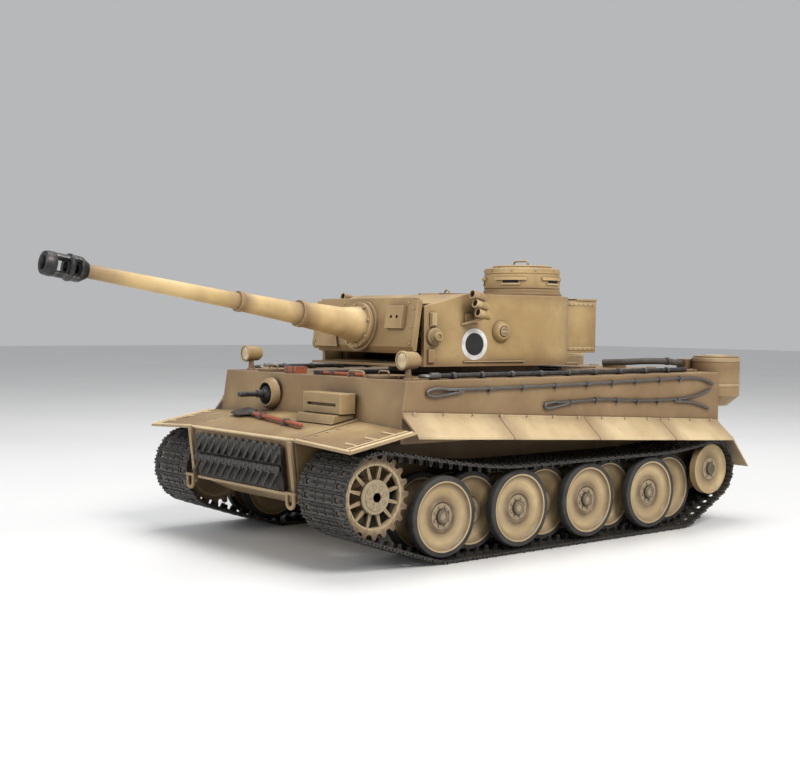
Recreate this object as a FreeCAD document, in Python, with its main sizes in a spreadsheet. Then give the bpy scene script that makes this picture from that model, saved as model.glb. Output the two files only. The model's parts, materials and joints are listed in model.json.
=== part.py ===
"""Radio-controlled heavy battle tank, 1/16 scale.

Frame: +X is the tank's left side, -Y is forward, +Z is up, and z = 0 is the
ground.  The origin is on the ground, under the middle of the overall length.
The gun rests raised above level, so the gun parts are built level about the
trunnion and then turned to that angle.
"""
import FreeCAD, Part
import math
import os
import re

import Sketcher

V = FreeCAD.Vector
X_AXIS = V(1, 0, 0)
Y_AXIS = V(0, 1, 0)
Z_AXIS = V(0, 0, 1)

# Driving dimensions in millimetres (angles in degrees): alias, value
DIMENSIONS = [
    # hull
    ("hull_half_width", 101.0), ("roof_z", 110.3), ("sponson_z", 73.0),
    ("front_top_y", -80.0), ("front_low_y", -83.9), ("glacis_z", 85.4),
    ("nose_y", -131.8), ("nose_z", 75.1), ("nose_low_y", -127.5), ("nose_low_z", 42.0),
    ("rear_y", 219.0), ("belly_z", 29.5), ("tub_half_width", 60.0), ("wall", 2.5),
    ("fender_half_width", 116.6), ("glacis_plate", 1.8), ("belly_front_y", -100.0),
    ("belly_rear_y", 198.0), ("rear_low_z", 44.0), ("deck_front_y", 118.0),
    ("ring_hole_radius", 49.0), ("glacis_half_width", 60.0),
    # hull gun
    ("gun_x", -37.5), ("gun_z", 96.4), ("gun_collar_radius", 10.8),
    # skirts
    ("skirt_front_y", -83.0), ("skirt_rear_y", 218.0), ("skirt_top_front", 90.4),
    ("skirt_top_rear", 74.2), ("skirt_drop", 11.8), ("sheet", 1.4),
    ("guard_rear_y", -84.4), ("guard_rear_z", 81.3), ("guard_tip_z", 72.4), ("guard_tip_y", -132.2),
    # running gear
    ("first_axle_y", -53.95), ("axle_pitch", 31.8), ("axle_z", 28.2), ("wheel_radius", 25.0),
    ("tyre_depth", 3.4), ("wheel_width", 6.0), ("wheel_spread", 22.0), ("outer_layer", 79.0),
    ("inner_layer", 68.0), ("hub_radius", 5.2), ("axle_radius", 2.4), ("axle_bore", 2.46),
    ("sprocket_y", -105.95), ("sprocket_z", 44.2), ("tooth_tip_radius", 25.8),
    ("tooth_root_radius", 22.4), ("sprocket_inner_x", 72.0), ("sprocket_outer_x", 101.8),
    ("ring_width", 2.8), ("tooth_count", 20.0), ("spoke_count", 12.0), ("shaft_radius", 3.0),
    ("shaft_bore", 3.06),
    ("idler_y", 205.0), ("idler_z", 40.0), ("idler_radius", 18.2), ("idler_wrap", 20.4),
    ("track_inner_x", 65.5), ("track_outer_x", 110.8), ("pin_to_wheel", 1.9), ("link_out", 1.3),
    ("link_in", 1.3), ("link_gap", 0.7), ("link_count", 96.0), ("horn_height", 3.2),
    ("horn_inner_x", 76.5), ("horn_outer_x", 98.5), ("horn_width", 2.0), ("horn_length", 3.6),
    ("groove_floor", 0.5), ("groove_clearance", 0.5),
    # turret
    ("turret_y", 55.75), ("turret_z", 116.4), ("turret_roof_z", 164.0), ("turret_front_y", -84.5),
    ("turret_front_half", 56.0), ("turret_radius", 66.5), ("turret_round_y", 10.9),
    ("roof_break_y", -51.0), ("roof_front_y", -78.5), ("roof_front_z", 157.0),
    ("turret_wall", 3.0), ("ledge_y", -97.0), ("ledge_z", 118.0), ("ledge_half", 51.0),
    ("cupola_x", 31.0), ("cupola_y", 27.0), ("cupola_radius", 26.9), ("cupola_top_z", 183.7),
    ("hatch_radius", 21.0), ("bin_half_width", 41.0), ("bin_rear_y", 94.3), ("bin_low_z", 124.0),
    ("bin_top_z", 161.9),
    # gun, measured along the bore from the trunnion
    ("trunnion_y", -60.0), ("trunnion_z", 137.3), ("gun_rest_angle", 8.7),
    ("mantlet_back", 22.5), ("mantlet_front", 32.4), ("mantlet_top", 19.0), ("mantlet_low", 17.0),
    ("mantlet_half", 50.5), ("flange_end", 36.0), ("sleeve_end", 83.5), ("step_end", 130.0),
    ("thin_end", 232.5), ("muzzle_end", 259.0), ("flange_radius", 15.4), ("sleeve_root_radius", 12.6),
    ("sleeve_radius", 8.2), ("step_root_radius", 7.1), ("step_radius", 5.9), ("thin_root_radius", 5.2),
    ("thin_radius", 4.1), ("brake_radius", 7.4), ("bore_radius", 2.6), ("trunnion_pin", 3.0),
    # air filters
    ("filter_x", 80.0), ("filter_y", 242.9), ("filter_radius", 18.3), ("filter_low_z", 92.0),
    ("filter_top_z", 120.5),
]

doc = FreeCAD.newDocument("battle_tank")
sheet = doc.addObject("Spreadsheet::Sheet", "dims")
sheet.Label = "dims"
for row, (alias, value) in enumerate(DIMENSIONS, start=1):
    sheet.set(f"A{row}", alias)
    sheet.set(f"B{row}", str(value))
    sheet.setAlias(f"B{row}", alias)
doc.recompute()

ALIASES = {alias for alias, _ in DIMENSIONS}
NODES = []


def dim(alias):
    """Value of a driving dimension, read from the sheet."""
    return float(sheet.get(alias))


def linked(expression):
    """Expression text with every alias pointed at the sheet."""
    def point(match):
        word = match.group(0)
        return f"dims.{word}" if word in ALIASES else word
    return re.sub(r"[a-z_]+", point, str(expression))


def bind(item, **properties):
    for name, expression in properties.items():
        item.setExpression(name.replace("__", "."), linked(expression))
    return item


def place(item, x=0, y=0, z=0, axis=None, angle=0):
    """Bind an object's position, after turning it about an axis."""
    if axis is not None:
        item.Placement = FreeCAD.Placement(V(0, 0, 0), FreeCAD.Rotation(axis, angle))
    bind(item, Placement__Base__x=x, Placement__Base__y=y, Placement__Base__z=z)
    return item


def new(kind, name):
    return doc.addObject(kind, name)


def block(name, x_range, y_range, z_range):
    """Box between two bounds along each axis."""
    item = new("Part::Box", name)
    (x0, x1), (y0, y1), (z0, z1) = x_range, y_range, z_range
    bind(item, Length=f"({x1}) - ({x0})", Width=f"({y1}) - ({y0})", Height=f"({z1}) - ({z0})")
    return place(item, x0, y0, z0)


def rod(name, radius, length, x=0, y=0, z=0, axis=None, angle=0):
    """Cylinder starting at a point, along Z unless it is turned."""
    item = new("Part::Cylinder", name)
    bind(item, Radius=radius, Height=length)
    return place(item, x, y, z, axis, angle)


def cross_rod(name, radius, x0, x1, y, z):
    """Cylinder along X between two stations."""
    return rod(name, radius, f"({x1}) - ({x0})", x0, y, z, Y_AXIS, 90)


def cone(name, radius_low, radius_high, length, x, y, z, axis=None, angle=0):
    item = new("Part::Cone", name)
    bind(item, Radius1=radius_low, Radius2=radius_high, Height=length)
    return place(item, x, y, z, axis, angle)


def cut(name, base, *tools):
    for index, tool in enumerate(tools):
        item = new("Part::Cut", f"{name}_cut{index}")
        item.Base, item.Tool = base, tool
        base = item
    return base


def fuse(name, *items):
    item = new("Part::MultiFuse", name)
    item.Shapes = list(items)
    item.Refine = True
    return item


def group(name, *items):
    """Several separate solids kept together."""
    item = new("Part::Compound", name)
    item.Links = list(items)
    return item


def node(label, item):
    """Name a finished sub-part: the label names its file."""
    item.Label = label
    NODES.append(item)
    return item


def shaped(name, shape):
    item = new("Part::Feature", name)
    item.Shape = shape
    return item


def outline_sketch(body, name, role, points):
    """Closed outline on one of the body's origin planes, every corner bound to the sheet."""
    sketch = body.newObject("Sketcher::SketchObject", name)
    plane = next(f for f in body.Origin.OriginFeatures if f.Role == role)
    sketch.AttachmentSupport = [(plane, "")]
    sketch.MapMode = "FlatFace"
    doc.recompute()
    values = [(number(px), number(py)) for px, py in points]
    corners = [V(px, py, 0) for px, py in values]
    count = len(corners)
    for index in range(count):
        sketch.addGeometry(Part.LineSegment(corners[index], corners[(index + 1) % count]), False)
    for index in range(count):
        following = (index + 1) % count
        sketch.addConstraint(Sketcher.Constraint("Coincident", index, 2, following, 1))
    for index, (px, py) in enumerate(points):
        for kind, expression, value, axis in (("DistanceX", px, values[index][0], -2),
                                              ("DistanceY", py, values[index][1], -1)):
            if abs(value) < 1e-9:
                sketch.addConstraint(Sketcher.Constraint("PointOnObject", index, 1, axis))
                continue
            place_id = sketch.addConstraint(Sketcher.Constraint(kind, -1, 1, index, 1, value))
            sketch.setExpression(f"Constraints[{place_id}]", linked(expression))
    return sketch


def number(expression):
    """Present value of an expression, worked out by a scratch cell of the sheet."""
    sheet.set("D1", "=" + re.sub(r"\bdims\.", "", linked(expression)))
    sheet.recompute()
    value = sheet.get("D1")
    return float(value.Value if hasattr(value, "Value") else value)


def turned(name, points):
    """Body of revolution about X: outline points are (station along X, radius)."""
    body = new("PartDesign::Body", name)
    sketch = outline_sketch(body, f"{name}_outline", "XY_Plane", points)
    spin = body.newObject("PartDesign::Revolution", f"{name}_turned")
    spin.Profile = sketch
    spin.ReferenceAxis = (sketch, ["H_Axis"])
    spin.Angle = 360
    return body


def slab(name, points, half_width):
    """Side outline of (y, z) points, padded to both sides of the middle plane."""
    body = new("PartDesign::Body", name)
    sketch = outline_sketch(body, f"{name}_outline", "YZ_Plane", points)
    pad = body.newObject("PartDesign::Pad", f"{name}_pad")
    pad.Profile = sketch
    bind(pad, Length=f"2 * ({half_width})")
    if hasattr(pad, "Midplane"):
        pad.Midplane = True
    else:
        pad.SideType = "Symmetric"
    return body


def mirrored(name, item):
    """The same piece on the other side of the middle plane."""
    copy = new("Part::Mirroring", name)
    copy.Source = item
    copy.Base = V(0, 0, 0)
    copy.Normal = X_AXIS
    return copy


# --------------------------------------------------------------------- hull

def lower_hull():
    tub = slab("tub", [
        ("nose_y + 0.6", "nose_z - glacis_plate"), ("nose_low_y", "nose_low_z"),
        ("belly_front_y", "belly_z"), ("belly_rear_y", "belly_z"),
        ("rear_y - 4", "rear_low_z"), ("rear_y - 0.5", "sponson_z"),
        ("front_low_y - 0.4", "sponson_z"), ("front_low_y - 0.4", "glacis_z - glacis_plate - 0.4"),
    ], "tub_half_width")
    inside = slab("tub_inside", [
        ("nose_y + 8", "nose_z - 8"), ("nose_low_y + 4", "nose_low_z + 3"),
        ("belly_front_y + 1", "belly_z + wall"), ("belly_rear_y - 1", "belly_z + wall"),
        ("rear_y - 8", "rear_low_z + 1"), ("rear_y - 8", "sponson_z + 5"),
        ("front_low_y + 2", "sponson_z + 5"), ("front_low_y + 2", "sponson_z"),
    ], "tub_half_width - wall")
    shaft_hole = cross_rod("shaft_hole", "shaft_radius + 0.3", "-tub_half_width - 5",
                           "tub_half_width + 5", "sprocket_y", "sprocket_z")
    node("lower_hull", cut("tub_shell", tub, inside, shaft_hole))


def upper_hull():
    shell = slab("superstructure", [
        ("front_top_y", "roof_z"), ("front_low_y", "glacis_z"), ("front_low_y", "sponson_z"),
        ("rear_y", "sponson_z"), ("rear_y", "roof_z"),
    ], "hull_half_width")
    inside = block("superstructure_inside",
                   ("-hull_half_width + wall", "hull_half_width - wall"),
                   ("front_top_y + 2 * wall", "rear_y - 2 * wall"),
                   ("sponson_z + wall", "roof_z - wall"))
    middle = block("tub_opening", ("-tub_half_width + wall", "tub_half_width - wall"),
                   ("front_top_y + 2 * wall", "rear_y - 3 * wall"), ("sponson_z - 1", "sponson_z + 3"))
    ring_hole = rod("ring_hole", "ring_hole_radius", 10, 0, "turret_y", "roof_z - 5")
    ball_hole = rod("ball_hole", 6.2, 16, "gun_x", "front_low_y - 4", "gun_z", X_AXIS, -90)
    deck_hole = block("deck_hole", (-52, 52), ("deck_front_y + 3", "rear_y - 9"), ("roof_z - 5", "roof_z + 1"))
    hatch_holes = [rod(f"hatch_hole_{side}", 12.6, 10, x, -62, "roof_z - 5")
                   for side, x in (("left", 62), ("right", -62))]
    hollow = cut("superstructure_shell", shell, inside, middle, ring_hole, ball_hole, deck_hole,
                 *hatch_holes)
    glacis = slab("glacis", [
        ("nose_y", "nose_z"), ("nose_y", "nose_z - glacis_plate"),
        ("front_low_y", "glacis_z - glacis_plate"), ("front_low_y", "glacis_z"),
    ], "glacis_half_width")
    node("upper_hull", group("upper_hull_solids", hollow, glacis))


def engine_deck():
    plate = block("deck_plate", ("-84", "84"), ("deck_front_y", "rear_y - 4"), ("roof_z", "roof_z + 1.6"))
    openings = []
    frames = []
    for index, (x, y) in enumerate(((-62, 142), (62, 142), (-62, 190), (62, 190))):
        openings.append(block(f"deck_opening_{index}", (x - 15, x + 15), (y - 14, y + 14),
                              ("roof_z - 1", "roof_z + 3")))
        bars = [block(f"grille_{index}_{bar}", (x - 15, x + 15),
                      (y - 11.6 + 5.8 * bar, y - 10.2 + 5.8 * bar), ("roof_z + 0.2", "roof_z + 1.4"))
                for bar in range(5)]
        frames.extend(bars)
    fan_rings = []
    for side, x in (("left", 62), ("right", -62)):
        ring = rod(f"fan_cover_{side}", 9, 2.2, x * 0.4, 190, "roof_z + 1.6")
        fan_rings.append(ring)
    lid = block("engine_lid", (-26, 26), (130, 168), ("roof_z + 1.6", "roof_z + 2.8"))
    node("engine_deck", group("engine_deck_solids", cut("deck", plate, *openings), *frames,
                              *fan_rings, lid))


def skirt_heights(y):
    """Height of the skirt's upper edge at a station along the hull."""
    span = dim("skirt_rear_y") - dim("skirt_front_y")
    share = (y - dim("skirt_front_y")) / span
    return dim("skirt_top_front") + share * (dim("skirt_top_rear") - dim("skirt_top_front"))


def lofted(sections):
    """Solid through polygons with the same number of corners."""
    wires = [Part.makePolygon([V(*corner) for corner in section + section[:1]]) for section in sections]
    return Part.makeLoft(wires, True, True)


def side_skirts():
    """Four sloping panels a side, each with an upright flange against the hull."""
    inner, outer, sheet_thick = dim("hull_half_width") + 0.05, dim("fender_half_width"), dim("sheet")
    start, end, panel_gap = dim("skirt_front_y"), dim("skirt_rear_y"), 0.5
    shares = (0.0, 0.258, 0.519, 0.779, 1.0)
    panels = []
    for share_a, share_b in zip(shares, shares[1:]):
        ends = (start + share_a * (end - start), start + share_b * (end - start) - panel_gap)
        for side in (1, -1):
            sections = []
            for y in ends:
                top = skirt_heights(y)
                low = top - dim("skirt_drop")
                sections.append([(side * inner, y, top + 1.6), (side * (inner + sheet_thick), y, top + 1.6),
                                 (side * (inner + sheet_thick), y, top), (side * outer, y, low),
                                 (side * outer, y, low - sheet_thick), (side * inner, y, top - sheet_thick)])
            panels.append(lofted(sections))
    node("side_skirts", shaped("skirt_panels", Part.makeCompound(panels)))


def mudguards():
    """Front guards level with the glacis, with folded outer flaps, and hanging rear guards."""
    thick = dim("sheet")
    inner, outer = dim("glacis_half_width") + 0.4, dim("fender_half_width") - 0.6
    rear_y, tip_y = dim("guard_rear_y"), dim("guard_tip_y")
    guards = []
    for side in (1, -1):
        plate = [(inner, rear_y, 84.2, inner, tip_y, dim("nose_z") - 0.2),
                 (outer, rear_y, dim("guard_rear_z"), outer, tip_y, dim("guard_tip_z"))]
        sections = []
        for x, y0, z0, _, y1, z1 in plate:
            sections.append([(side * x, y0, z0), (side * x, y1, z1),
                             (side * x, y1, z1 - thick), (side * x, y0, z0 - thick)])
        guards.append(lofted(sections))
        tail = [(222.0, 62.5), (241.5, 40.0)]
        rear_sections = []
        for x in (66.0, 112.0):
            rear_sections.append([(side * x, tail[0][0] - 5, tail[0][1] + 1.2), (side * x, tail[0][0], tail[0][1] + 1.2),
                                  (side * x, tail[1][0] + 1.2, tail[1][1]), (side * x, tail[1][0], tail[1][1]),
                                  (side * x, tail[0][0] - 0.8, tail[0][1]), (side * x, tail[0][0] - 5, tail[0][1])])
        guards.append(lofted(rear_sections))
    node("mudguards", shaped("mudguard_sheets", Part.makeCompound(guards)))


def driver_visor():
    upper = block("visor_block", (17.5, 57), ("front_low_y - 12", "front_low_y - 0.2"), (88.2, 101.0))
    slit = block("visor_slit", (22, 52), ("front_low_y - 13", "front_low_y - 9.5"), (93.0, 94.6))
    lower = slab("visor_guard", [("front_low_y - 17", 82.2), ("front_low_y - 15.5", 87.9),
                                 ("front_low_y - 0.3", 87.9), ("front_low_y - 0.3", 85.6)], 19.5)
    place(lower, 36)
    node("driver_visor", group("visor_solids", cut("visor", upper, slit), lower))


def hull_gun():
    collar = rod("gun_collar", "gun_collar_radius", 5, "gun_x", "front_low_y - 5", "gun_z", X_AXIS, -90)
    collar_bore = rod("collar_bore", 6.9, 12, "gun_x", "front_low_y - 8", "gun_z", X_AXIS, -90)
    collar_ball = new("Part::Sphere", "collar_ball")
    bind(collar_ball, Radius=8.2)
    place(collar_ball, "gun_x", "front_low_y - 1.5", "gun_z")
    node("hull_gun_mount", cut("gun_mount", collar, collar_bore, collar_ball))
    ball = new("Part::Sphere", "gun_ball")
    bind(ball, Radius=6)
    place(ball, "gun_x", "front_low_y - 1.5", "gun_z")
    tube = rod("gun_tube", 1.7, 24, "gun_x", "front_low_y - 1.5", "gun_z", X_AXIS, 90)
    sleeve = rod("gun_sleeve", 2.6, 10, "gun_x", "front_low_y - 1.5", "gun_z", X_AXIS, 90)
    node("hull_gun", fuse("hull_gun_solid", ball, tube, sleeve))


def headlights():
    lamps = []
    for side, x in (("left", 88.0), ("right", -88.0)):
        post = rod(f"lamp_post_{side}", 1.7, 7, x, -68, "roof_z")
        foot = rod(f"lamp_foot_{side}", 3.2, 1, x, -68, "roof_z")
        shell = rod(f"lamp_shell_{side}", 5.4, 8, x, -64.5, 122, X_AXIS, 90)
        bulge = new("Part::Sphere", f"lamp_bulge_{side}")
        bind(bulge, Radius=5.4)
        place(bulge, x, -64.5, 122)
        lamps.append(fuse(f"lamp_{side}", post, foot, shell, bulge))
        lamps.append(rod(f"lamp_lens_{side}", 4.9, 1.2, x, -72.5, 122, X_AXIS, 90))
    node("headlights", group("headlight_solids", *lamps))


def hull_hatches():
    for label, x in (("driver_hatch", 62), ("radio_hatch", -62)):
        lid = rod(f"{label}_lid", 14.2, 1.5, x, -62, "roof_z + 0.3")
        plug = rod(f"{label}_plug", 12.2, 1.8, x, -62, "roof_z - 1.4")
        outward = 1 if x > 0 else -1
        hinge = rod(f"{label}_hinge", 1.0, 9, x + outward * 14.9, -66.5, "roof_z + 1.3", X_AXIS, -90)
        tongue = block(f"{label}_tongue", *sorted_span(x + outward * 12, x + outward * 14.9),
                       (-65, -59), ("roof_z + 0.6", "roof_z + 1.7"))
        node(label, fuse(f"{label}_solid", lid, plug, hinge, tongue))


def sorted_span(a, b):
    return ((min(a, b), max(a, b)),)


def spare_track():
    """Twelve links side by side on the nose plate, with the bars and straps that hold them."""
    pitch, half = 8.3, 12 * 8.3 / 2
    lean = math.degrees(math.atan2(dim("nose_low_y") - dim("nose_y"), dim("nose_z") - dim("nose_low_z")))
    links = []
    for index in range(12):
        x = -half + index * pitch
        plate = Part.makeBox(pitch - 0.5, 2.4, 27, V(x + 0.25, -3.2, -29.5))
        horn = Part.makeBox(3.4, 1.6, 3.0, V(x + 2.4, -4.6, -17.5))
        links.append(plate.fuse(horn).removeSplitter())
    turn = FreeCAD.Placement(V(0, dim("nose_y") - 0.4, dim("nose_z") - 2), FreeCAD.Rotation(X_AXIS, lean))
    row = Part.makeCompound(links)
    row.Placement = turn
    node("spare_track_links", shaped("spare_links", row))
    bars = []
    for low in (-31.6,):
        bars.append(Part.makeBox(2 * half + 4, 3.6, 1.8, V(-half - 2, -3.8, low)))
    for x in (-60.0, 57.0):
        strap = Part.makeBox(3.0, 2.0, 36.5, V(x, -2.6, -35.5))
        bars.append(strap)
    holder = Part.makeCompound(bars)
    holder.Placement = turn
    node("spare_track_brackets", shaped("spare_brackets", holder))


def shackle(x, y, z):
    """U-shaped tow shackle: a half-ring bow, two legs and the pin across the open end."""
    bow = Part.makeTorus(3.4, 1.2, V(0, 0, 0), X_AXIS).common(Part.makeBox(20, 20, 10, V(-10, -10, -10)))
    legs = [Part.makeCylinder(1.2, 5.5, V(0, offset, 0), Z_AXIS) for offset in (-3.4, 3.4)]
    pin = Part.makeCylinder(1.0, 10, V(0, -5, 5.0), Y_AXIS)
    body = bow.fuse(legs + [pin]).removeSplitter()
    body.rotate(V(0, 0, 0), Z_AXIS, 90)
    body.translate(V(x, y, z))
    return body


def tow_shackles():
    items = []
    for side in (-1, 1):
        items.append(shackle(side * 59.0, dim("nose_low_y") - 5.6, 38.0))
        items.append(shackle(side * 52.0, dim("rear_y") + 2.4, 52.0))
    node("tow_shackles", shaped("shackle_bows", Part.makeCompound(items)))


def rounded_route(points, share=0.45):
    """Wire of straight runs joined by tangent arcs, and the radii of those arcs."""
    corners = [V(*p) for p in points]
    edges = []
    radii = []
    last = corners[0]
    for before, here, after in zip(corners, corners[1:], corners[2:]):
        back, ahead = (before - here), (after - here)
        trim = share * min(back.Length, ahead.Length)
        a, b = here + back.normalize() * trim, here + ahead.normalize() * trim
        middle_dir = (back + ahead).normalize()
        half_angle = math.acos(max(-1, min(1, back.dot(ahead)))) / 2
        radius = trim * math.tan(half_angle)
        centre_distance = trim / math.cos(half_angle)
        middle = here + middle_dir * (centre_distance - radius)
        edges.append(Part.LineSegment(last, a).toShape())
        edges.append(Part.Arc(a, middle, b).toShape())
        radii.append(radius)
        last = b
    edges.append(Part.LineSegment(last, corners[-1]).toShape())
    return Part.Wire(edges), radii


def tube(points, radius):
    """Round tube along a route, checked against section times length."""
    wire, radii = rounded_route(points)
    start = V(*points[0])
    heading = (V(*points[1]) - start).normalize()
    section = Part.Wire([Part.Circle(start, heading, radius).toShape()])
    solid = wire.makePipeShell([section], True, False)
    expected = math.pi * radius ** 2 * wire.Length
    if abs(solid.Volume - expected) > 0.02 * expected:
        raise ValueError("tube volume differs from section times length")
    print("route length", round(wire.Length, 1), "smallest bend", round(min(radii), 1))
    return solid


def tow_cables():
    """Thick tow cables along both roof edges, ending in eyes at the front."""
    radius, x, z = 1.7, 92.0, 112.3
    cables = []
    for side in (1, -1):
        route = [(side * x, -53.4, z), (side * x, -20, z), (side * (x + 1), 40, z), (side * (x + 1), 100, z),
                 (side * (x - 1), 150, z), (side * (x - 4), 196, z)]
        cables.append(tube(route, radius))
        eye = Part.makeTorus(3.4, 1.3, V(side * x, -57, z), Z_AXIS)
        cables.append(eye.cut(Part.makeCylinder(radius, 6, V(side * x, -53.4, z), Y_AXIS)))
    node("tow_cables", shaped("tow_ropes", Part.makeCompound(cables)))


def track_cable():
    """Thin cable clipped to the left wall: a long upper run and a shorter, forked lower one."""
    radius, x = 0.9, dim("hull_half_width") + 1.5
    upper = [(x, -57, 103), (x, -20, 104.2), (x, 34, 104.8), (x, 87, 105.5), (x, 139, 106.4),
             (x, 183, 107.2), (x, 200, 105.8), (x, 211, 101.6)]
    lower = [(x, 40.2, 92.4), (x, 67, 94), (x, 87, 94.6), (x, 128, 92.4), (x, 161, 91.8), (x, 190, 93),
             (x, 208, 98.5)]
    fork = [(x, 178, 89.9), (x, 192, 88.6), (x, 206, 84)]
    items = [tube(route, radius) for route in (upper, lower, fork)]
    items.append(Part.makeTorus(3.6, 0.8, V(x, -60.4, 102.9), X_AXIS).cut(items[0]))
    items.append(Part.makeTorus(3.6, 0.8, V(x, 36.8, 92.3), X_AXIS).cut(items[1]))
    node("track_cable", shaped("track_rope", Part.makeCompound(items)))


def cable_clips():
    wall_x = dim("hull_half_width")
    clips = []
    for y, z in ((-40, 103.5), (-14, 104.2), (15, 104.6), (75, 105.3), (124, 106.1), (165, 106.8),
                 (59, 93.5), (126, 92.5), (162, 91.8)):
        clips.append(Part.makeBox(0.5, 3, 5, V(wall_x, y - 1.5, z - 2.5)))
    for side in (1, -1):
        for y in (-30, 20, 70, 120, 170):
            clips.append(Part.makeBox(5.4, 2.4, 0.25, V(side * 92.5 - 2.7, y - 1.2, dim("roof_z") + 0.02)))
    node("cable_clips", shaped("clip_plates", Part.makeCompound(clips)))


def hand_tools():
    """Shovel on the glacis, and hammer, axe and jack block on the roof."""
    slope = math.degrees(math.atan2(dim("glacis_z") - dim("nose_z"), dim("front_low_y") - dim("nose_y")))
    shaft = Part.makeCylinder(1.3, 79, V(-38, 0, 2.2), V(1, 0, 0))
    blade = Part.makeBox(19, 14, 1.4, V(-57, -7, 1.5))
    shovel = shaft.fuse(Part.makeBox(8, 3, 1.4, V(-42, -1.5, 1.5))).fuse(blade)
    feet = [Part.makeBox(2.2, 3.4, 0.85, V(x, -1.7, 0.03)) for x in (-18, 18)]
    kit = Part.makeCompound([shovel.removeSplitter()] + feet)
    kit.rotate(V(0, 0, 0), Z_AXIS, -9)
    lying = FreeCAD.Placement(V(0, -106, dim("nose_z") + 5.63), FreeCAD.Rotation(X_AXIS, slope))
    kit.Placement = lying.multiply(kit.Placement)
    handle = Part.makeCylinder(1.2, 40, V(4, -70.5, dim("roof_z") + 1.3), V(1, 0.08, 0))
    head = Part.makeBox(8, 4.5, 2.6, V(-4, -73.0, dim("roof_z") + 0.1))
    block_wood = Part.makeBox(14, 9, 4.5, V(-34, -76, dim("roof_z") + 0.05))
    node("hand_tools", shaped("tool_solids", Part.makeCompound([kit, handle.fuse(head), block_wood])))


def air_filters():
    cans = []
    for side in (1, -1):
        x, y = side * dim("filter_x"), dim("filter_y")
        can = Part.makeCylinder(dim("filter_radius"), dim("filter_top_z") - dim("filter_low_z"),
                                V(x, y, dim("filter_low_z")))
        lid = Part.makeCylinder(dim("filter_radius") - 1.4, 1.2, V(x, y, dim("filter_top_z")))
        cone_low = Part.makeCone(9, dim("filter_radius"), 8, V(x, y, dim("filter_low_z") - 8))
        bracket = Part.makeBox(16, 5, 12, V(x - 8, dim("rear_y"), 98))
        nozzle = Part.makeBox(9, 14, 8, V(x - side * 17 - 4.5, y - 20, 111))
        cans.append(can.fuse([lid, cone_low, bracket, nozzle]).removeSplitter())
    node("air_filters", shaped("filter_cans", Part.makeCompound(cans)))


def filter_hoses():
    hoses = []
    for side in (1, -1):
        x = side * (dim("filter_x") - 17)
        route = [(x, dim("filter_y") - 20.9, 116), (side * 61, 206, 117.5), (side * 54, 188, 117.6),
                 (side * 42, 176, 116.4), (side * 30, 171, 116.2)]
        hoses.append(tube(route, 2.4))
    node("filter_hoses", shaped("hose_tubes", Part.makeCompound(hoses)))


def exhausts():
    stacks = []
    for side in (1, -1):
        x, y = side * 30.0, dim("rear_y") + 8.6
        guard = Part.makeCylinder(7.6, 40, V(x, y, 66))
        pipe_end = Part.makeCylinder(4.0, 6, V(x, y, 106))
        foot = Part.makeBox(9, 6, 8, V(x - 4.5, dim("rear_y"), 68))
        stacks.append(guard.fuse([pipe_end, foot]).removeSplitter())
    node("exhausts", shaped("exhaust_stacks", Part.makeCompound(stacks)))


# ------------------------------------------------------------- running gear

def axle_stations():
    return [dim("first_axle_y") + index * dim("axle_pitch") for index in range(8)]


def swing_arms():
    """Trailing arm and stub axle for every wheel pair, and the idler cranks."""
    arms = []
    for side in (1, -1):
        for index, y in enumerate(axle_stations()):
            inner = dim("outer_layer") if index % 2 == 0 else dim("inner_layer")
            reach = inner + dim("wheel_spread") + dim("wheel_width") - 1.2
            arms.append(arm(side, y, dim("axle_z"), 17, reach, dim("axle_radius")))
        arms.append(arm(side, dim("idler_y"), dim("idler_z"), -4, 105.0, dim("axle_radius"), 11))
    node("swing_arms", shaped("arm_solids", Part.makeCompound(arms)))


def arm(side, y, z, pivot_ahead, reach, axle_radius, pivot_back=None):
    wall_x = dim("tub_half_width")
    width = 4.6
    direction = V(side, 0, 0)
    pivot_y, pivot_z = (y - pivot_ahead, z + 7) if pivot_back is None else (y - pivot_back, z)
    pivot = Part.makeCylinder(4.2, width, V(side * wall_x, pivot_y, pivot_z), direction)
    eye = Part.makeCylinder(4.2, width - 0.6, V(side * (wall_x + 0.6), y, z), direction)
    stub = Part.makeCylinder(axle_radius, reach - wall_x - 0.6, V(side * (wall_x + 0.6), y, z), direction)
    along = V(0, y - pivot_y, z - pivot_z)
    web = Part.makeBox(width - 0.6, along.Length, 5.0, V(0, 0, -2.5))
    web.rotate(V(0, 0, 0), X_AXIS, math.degrees(math.atan2(along.z, along.y)))
    web.translate(V(wall_x + 0.6 if side > 0 else -wall_x - width, pivot_y, pivot_z))
    return pivot.fuse([eye, stub, web]).removeSplitter()


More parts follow.
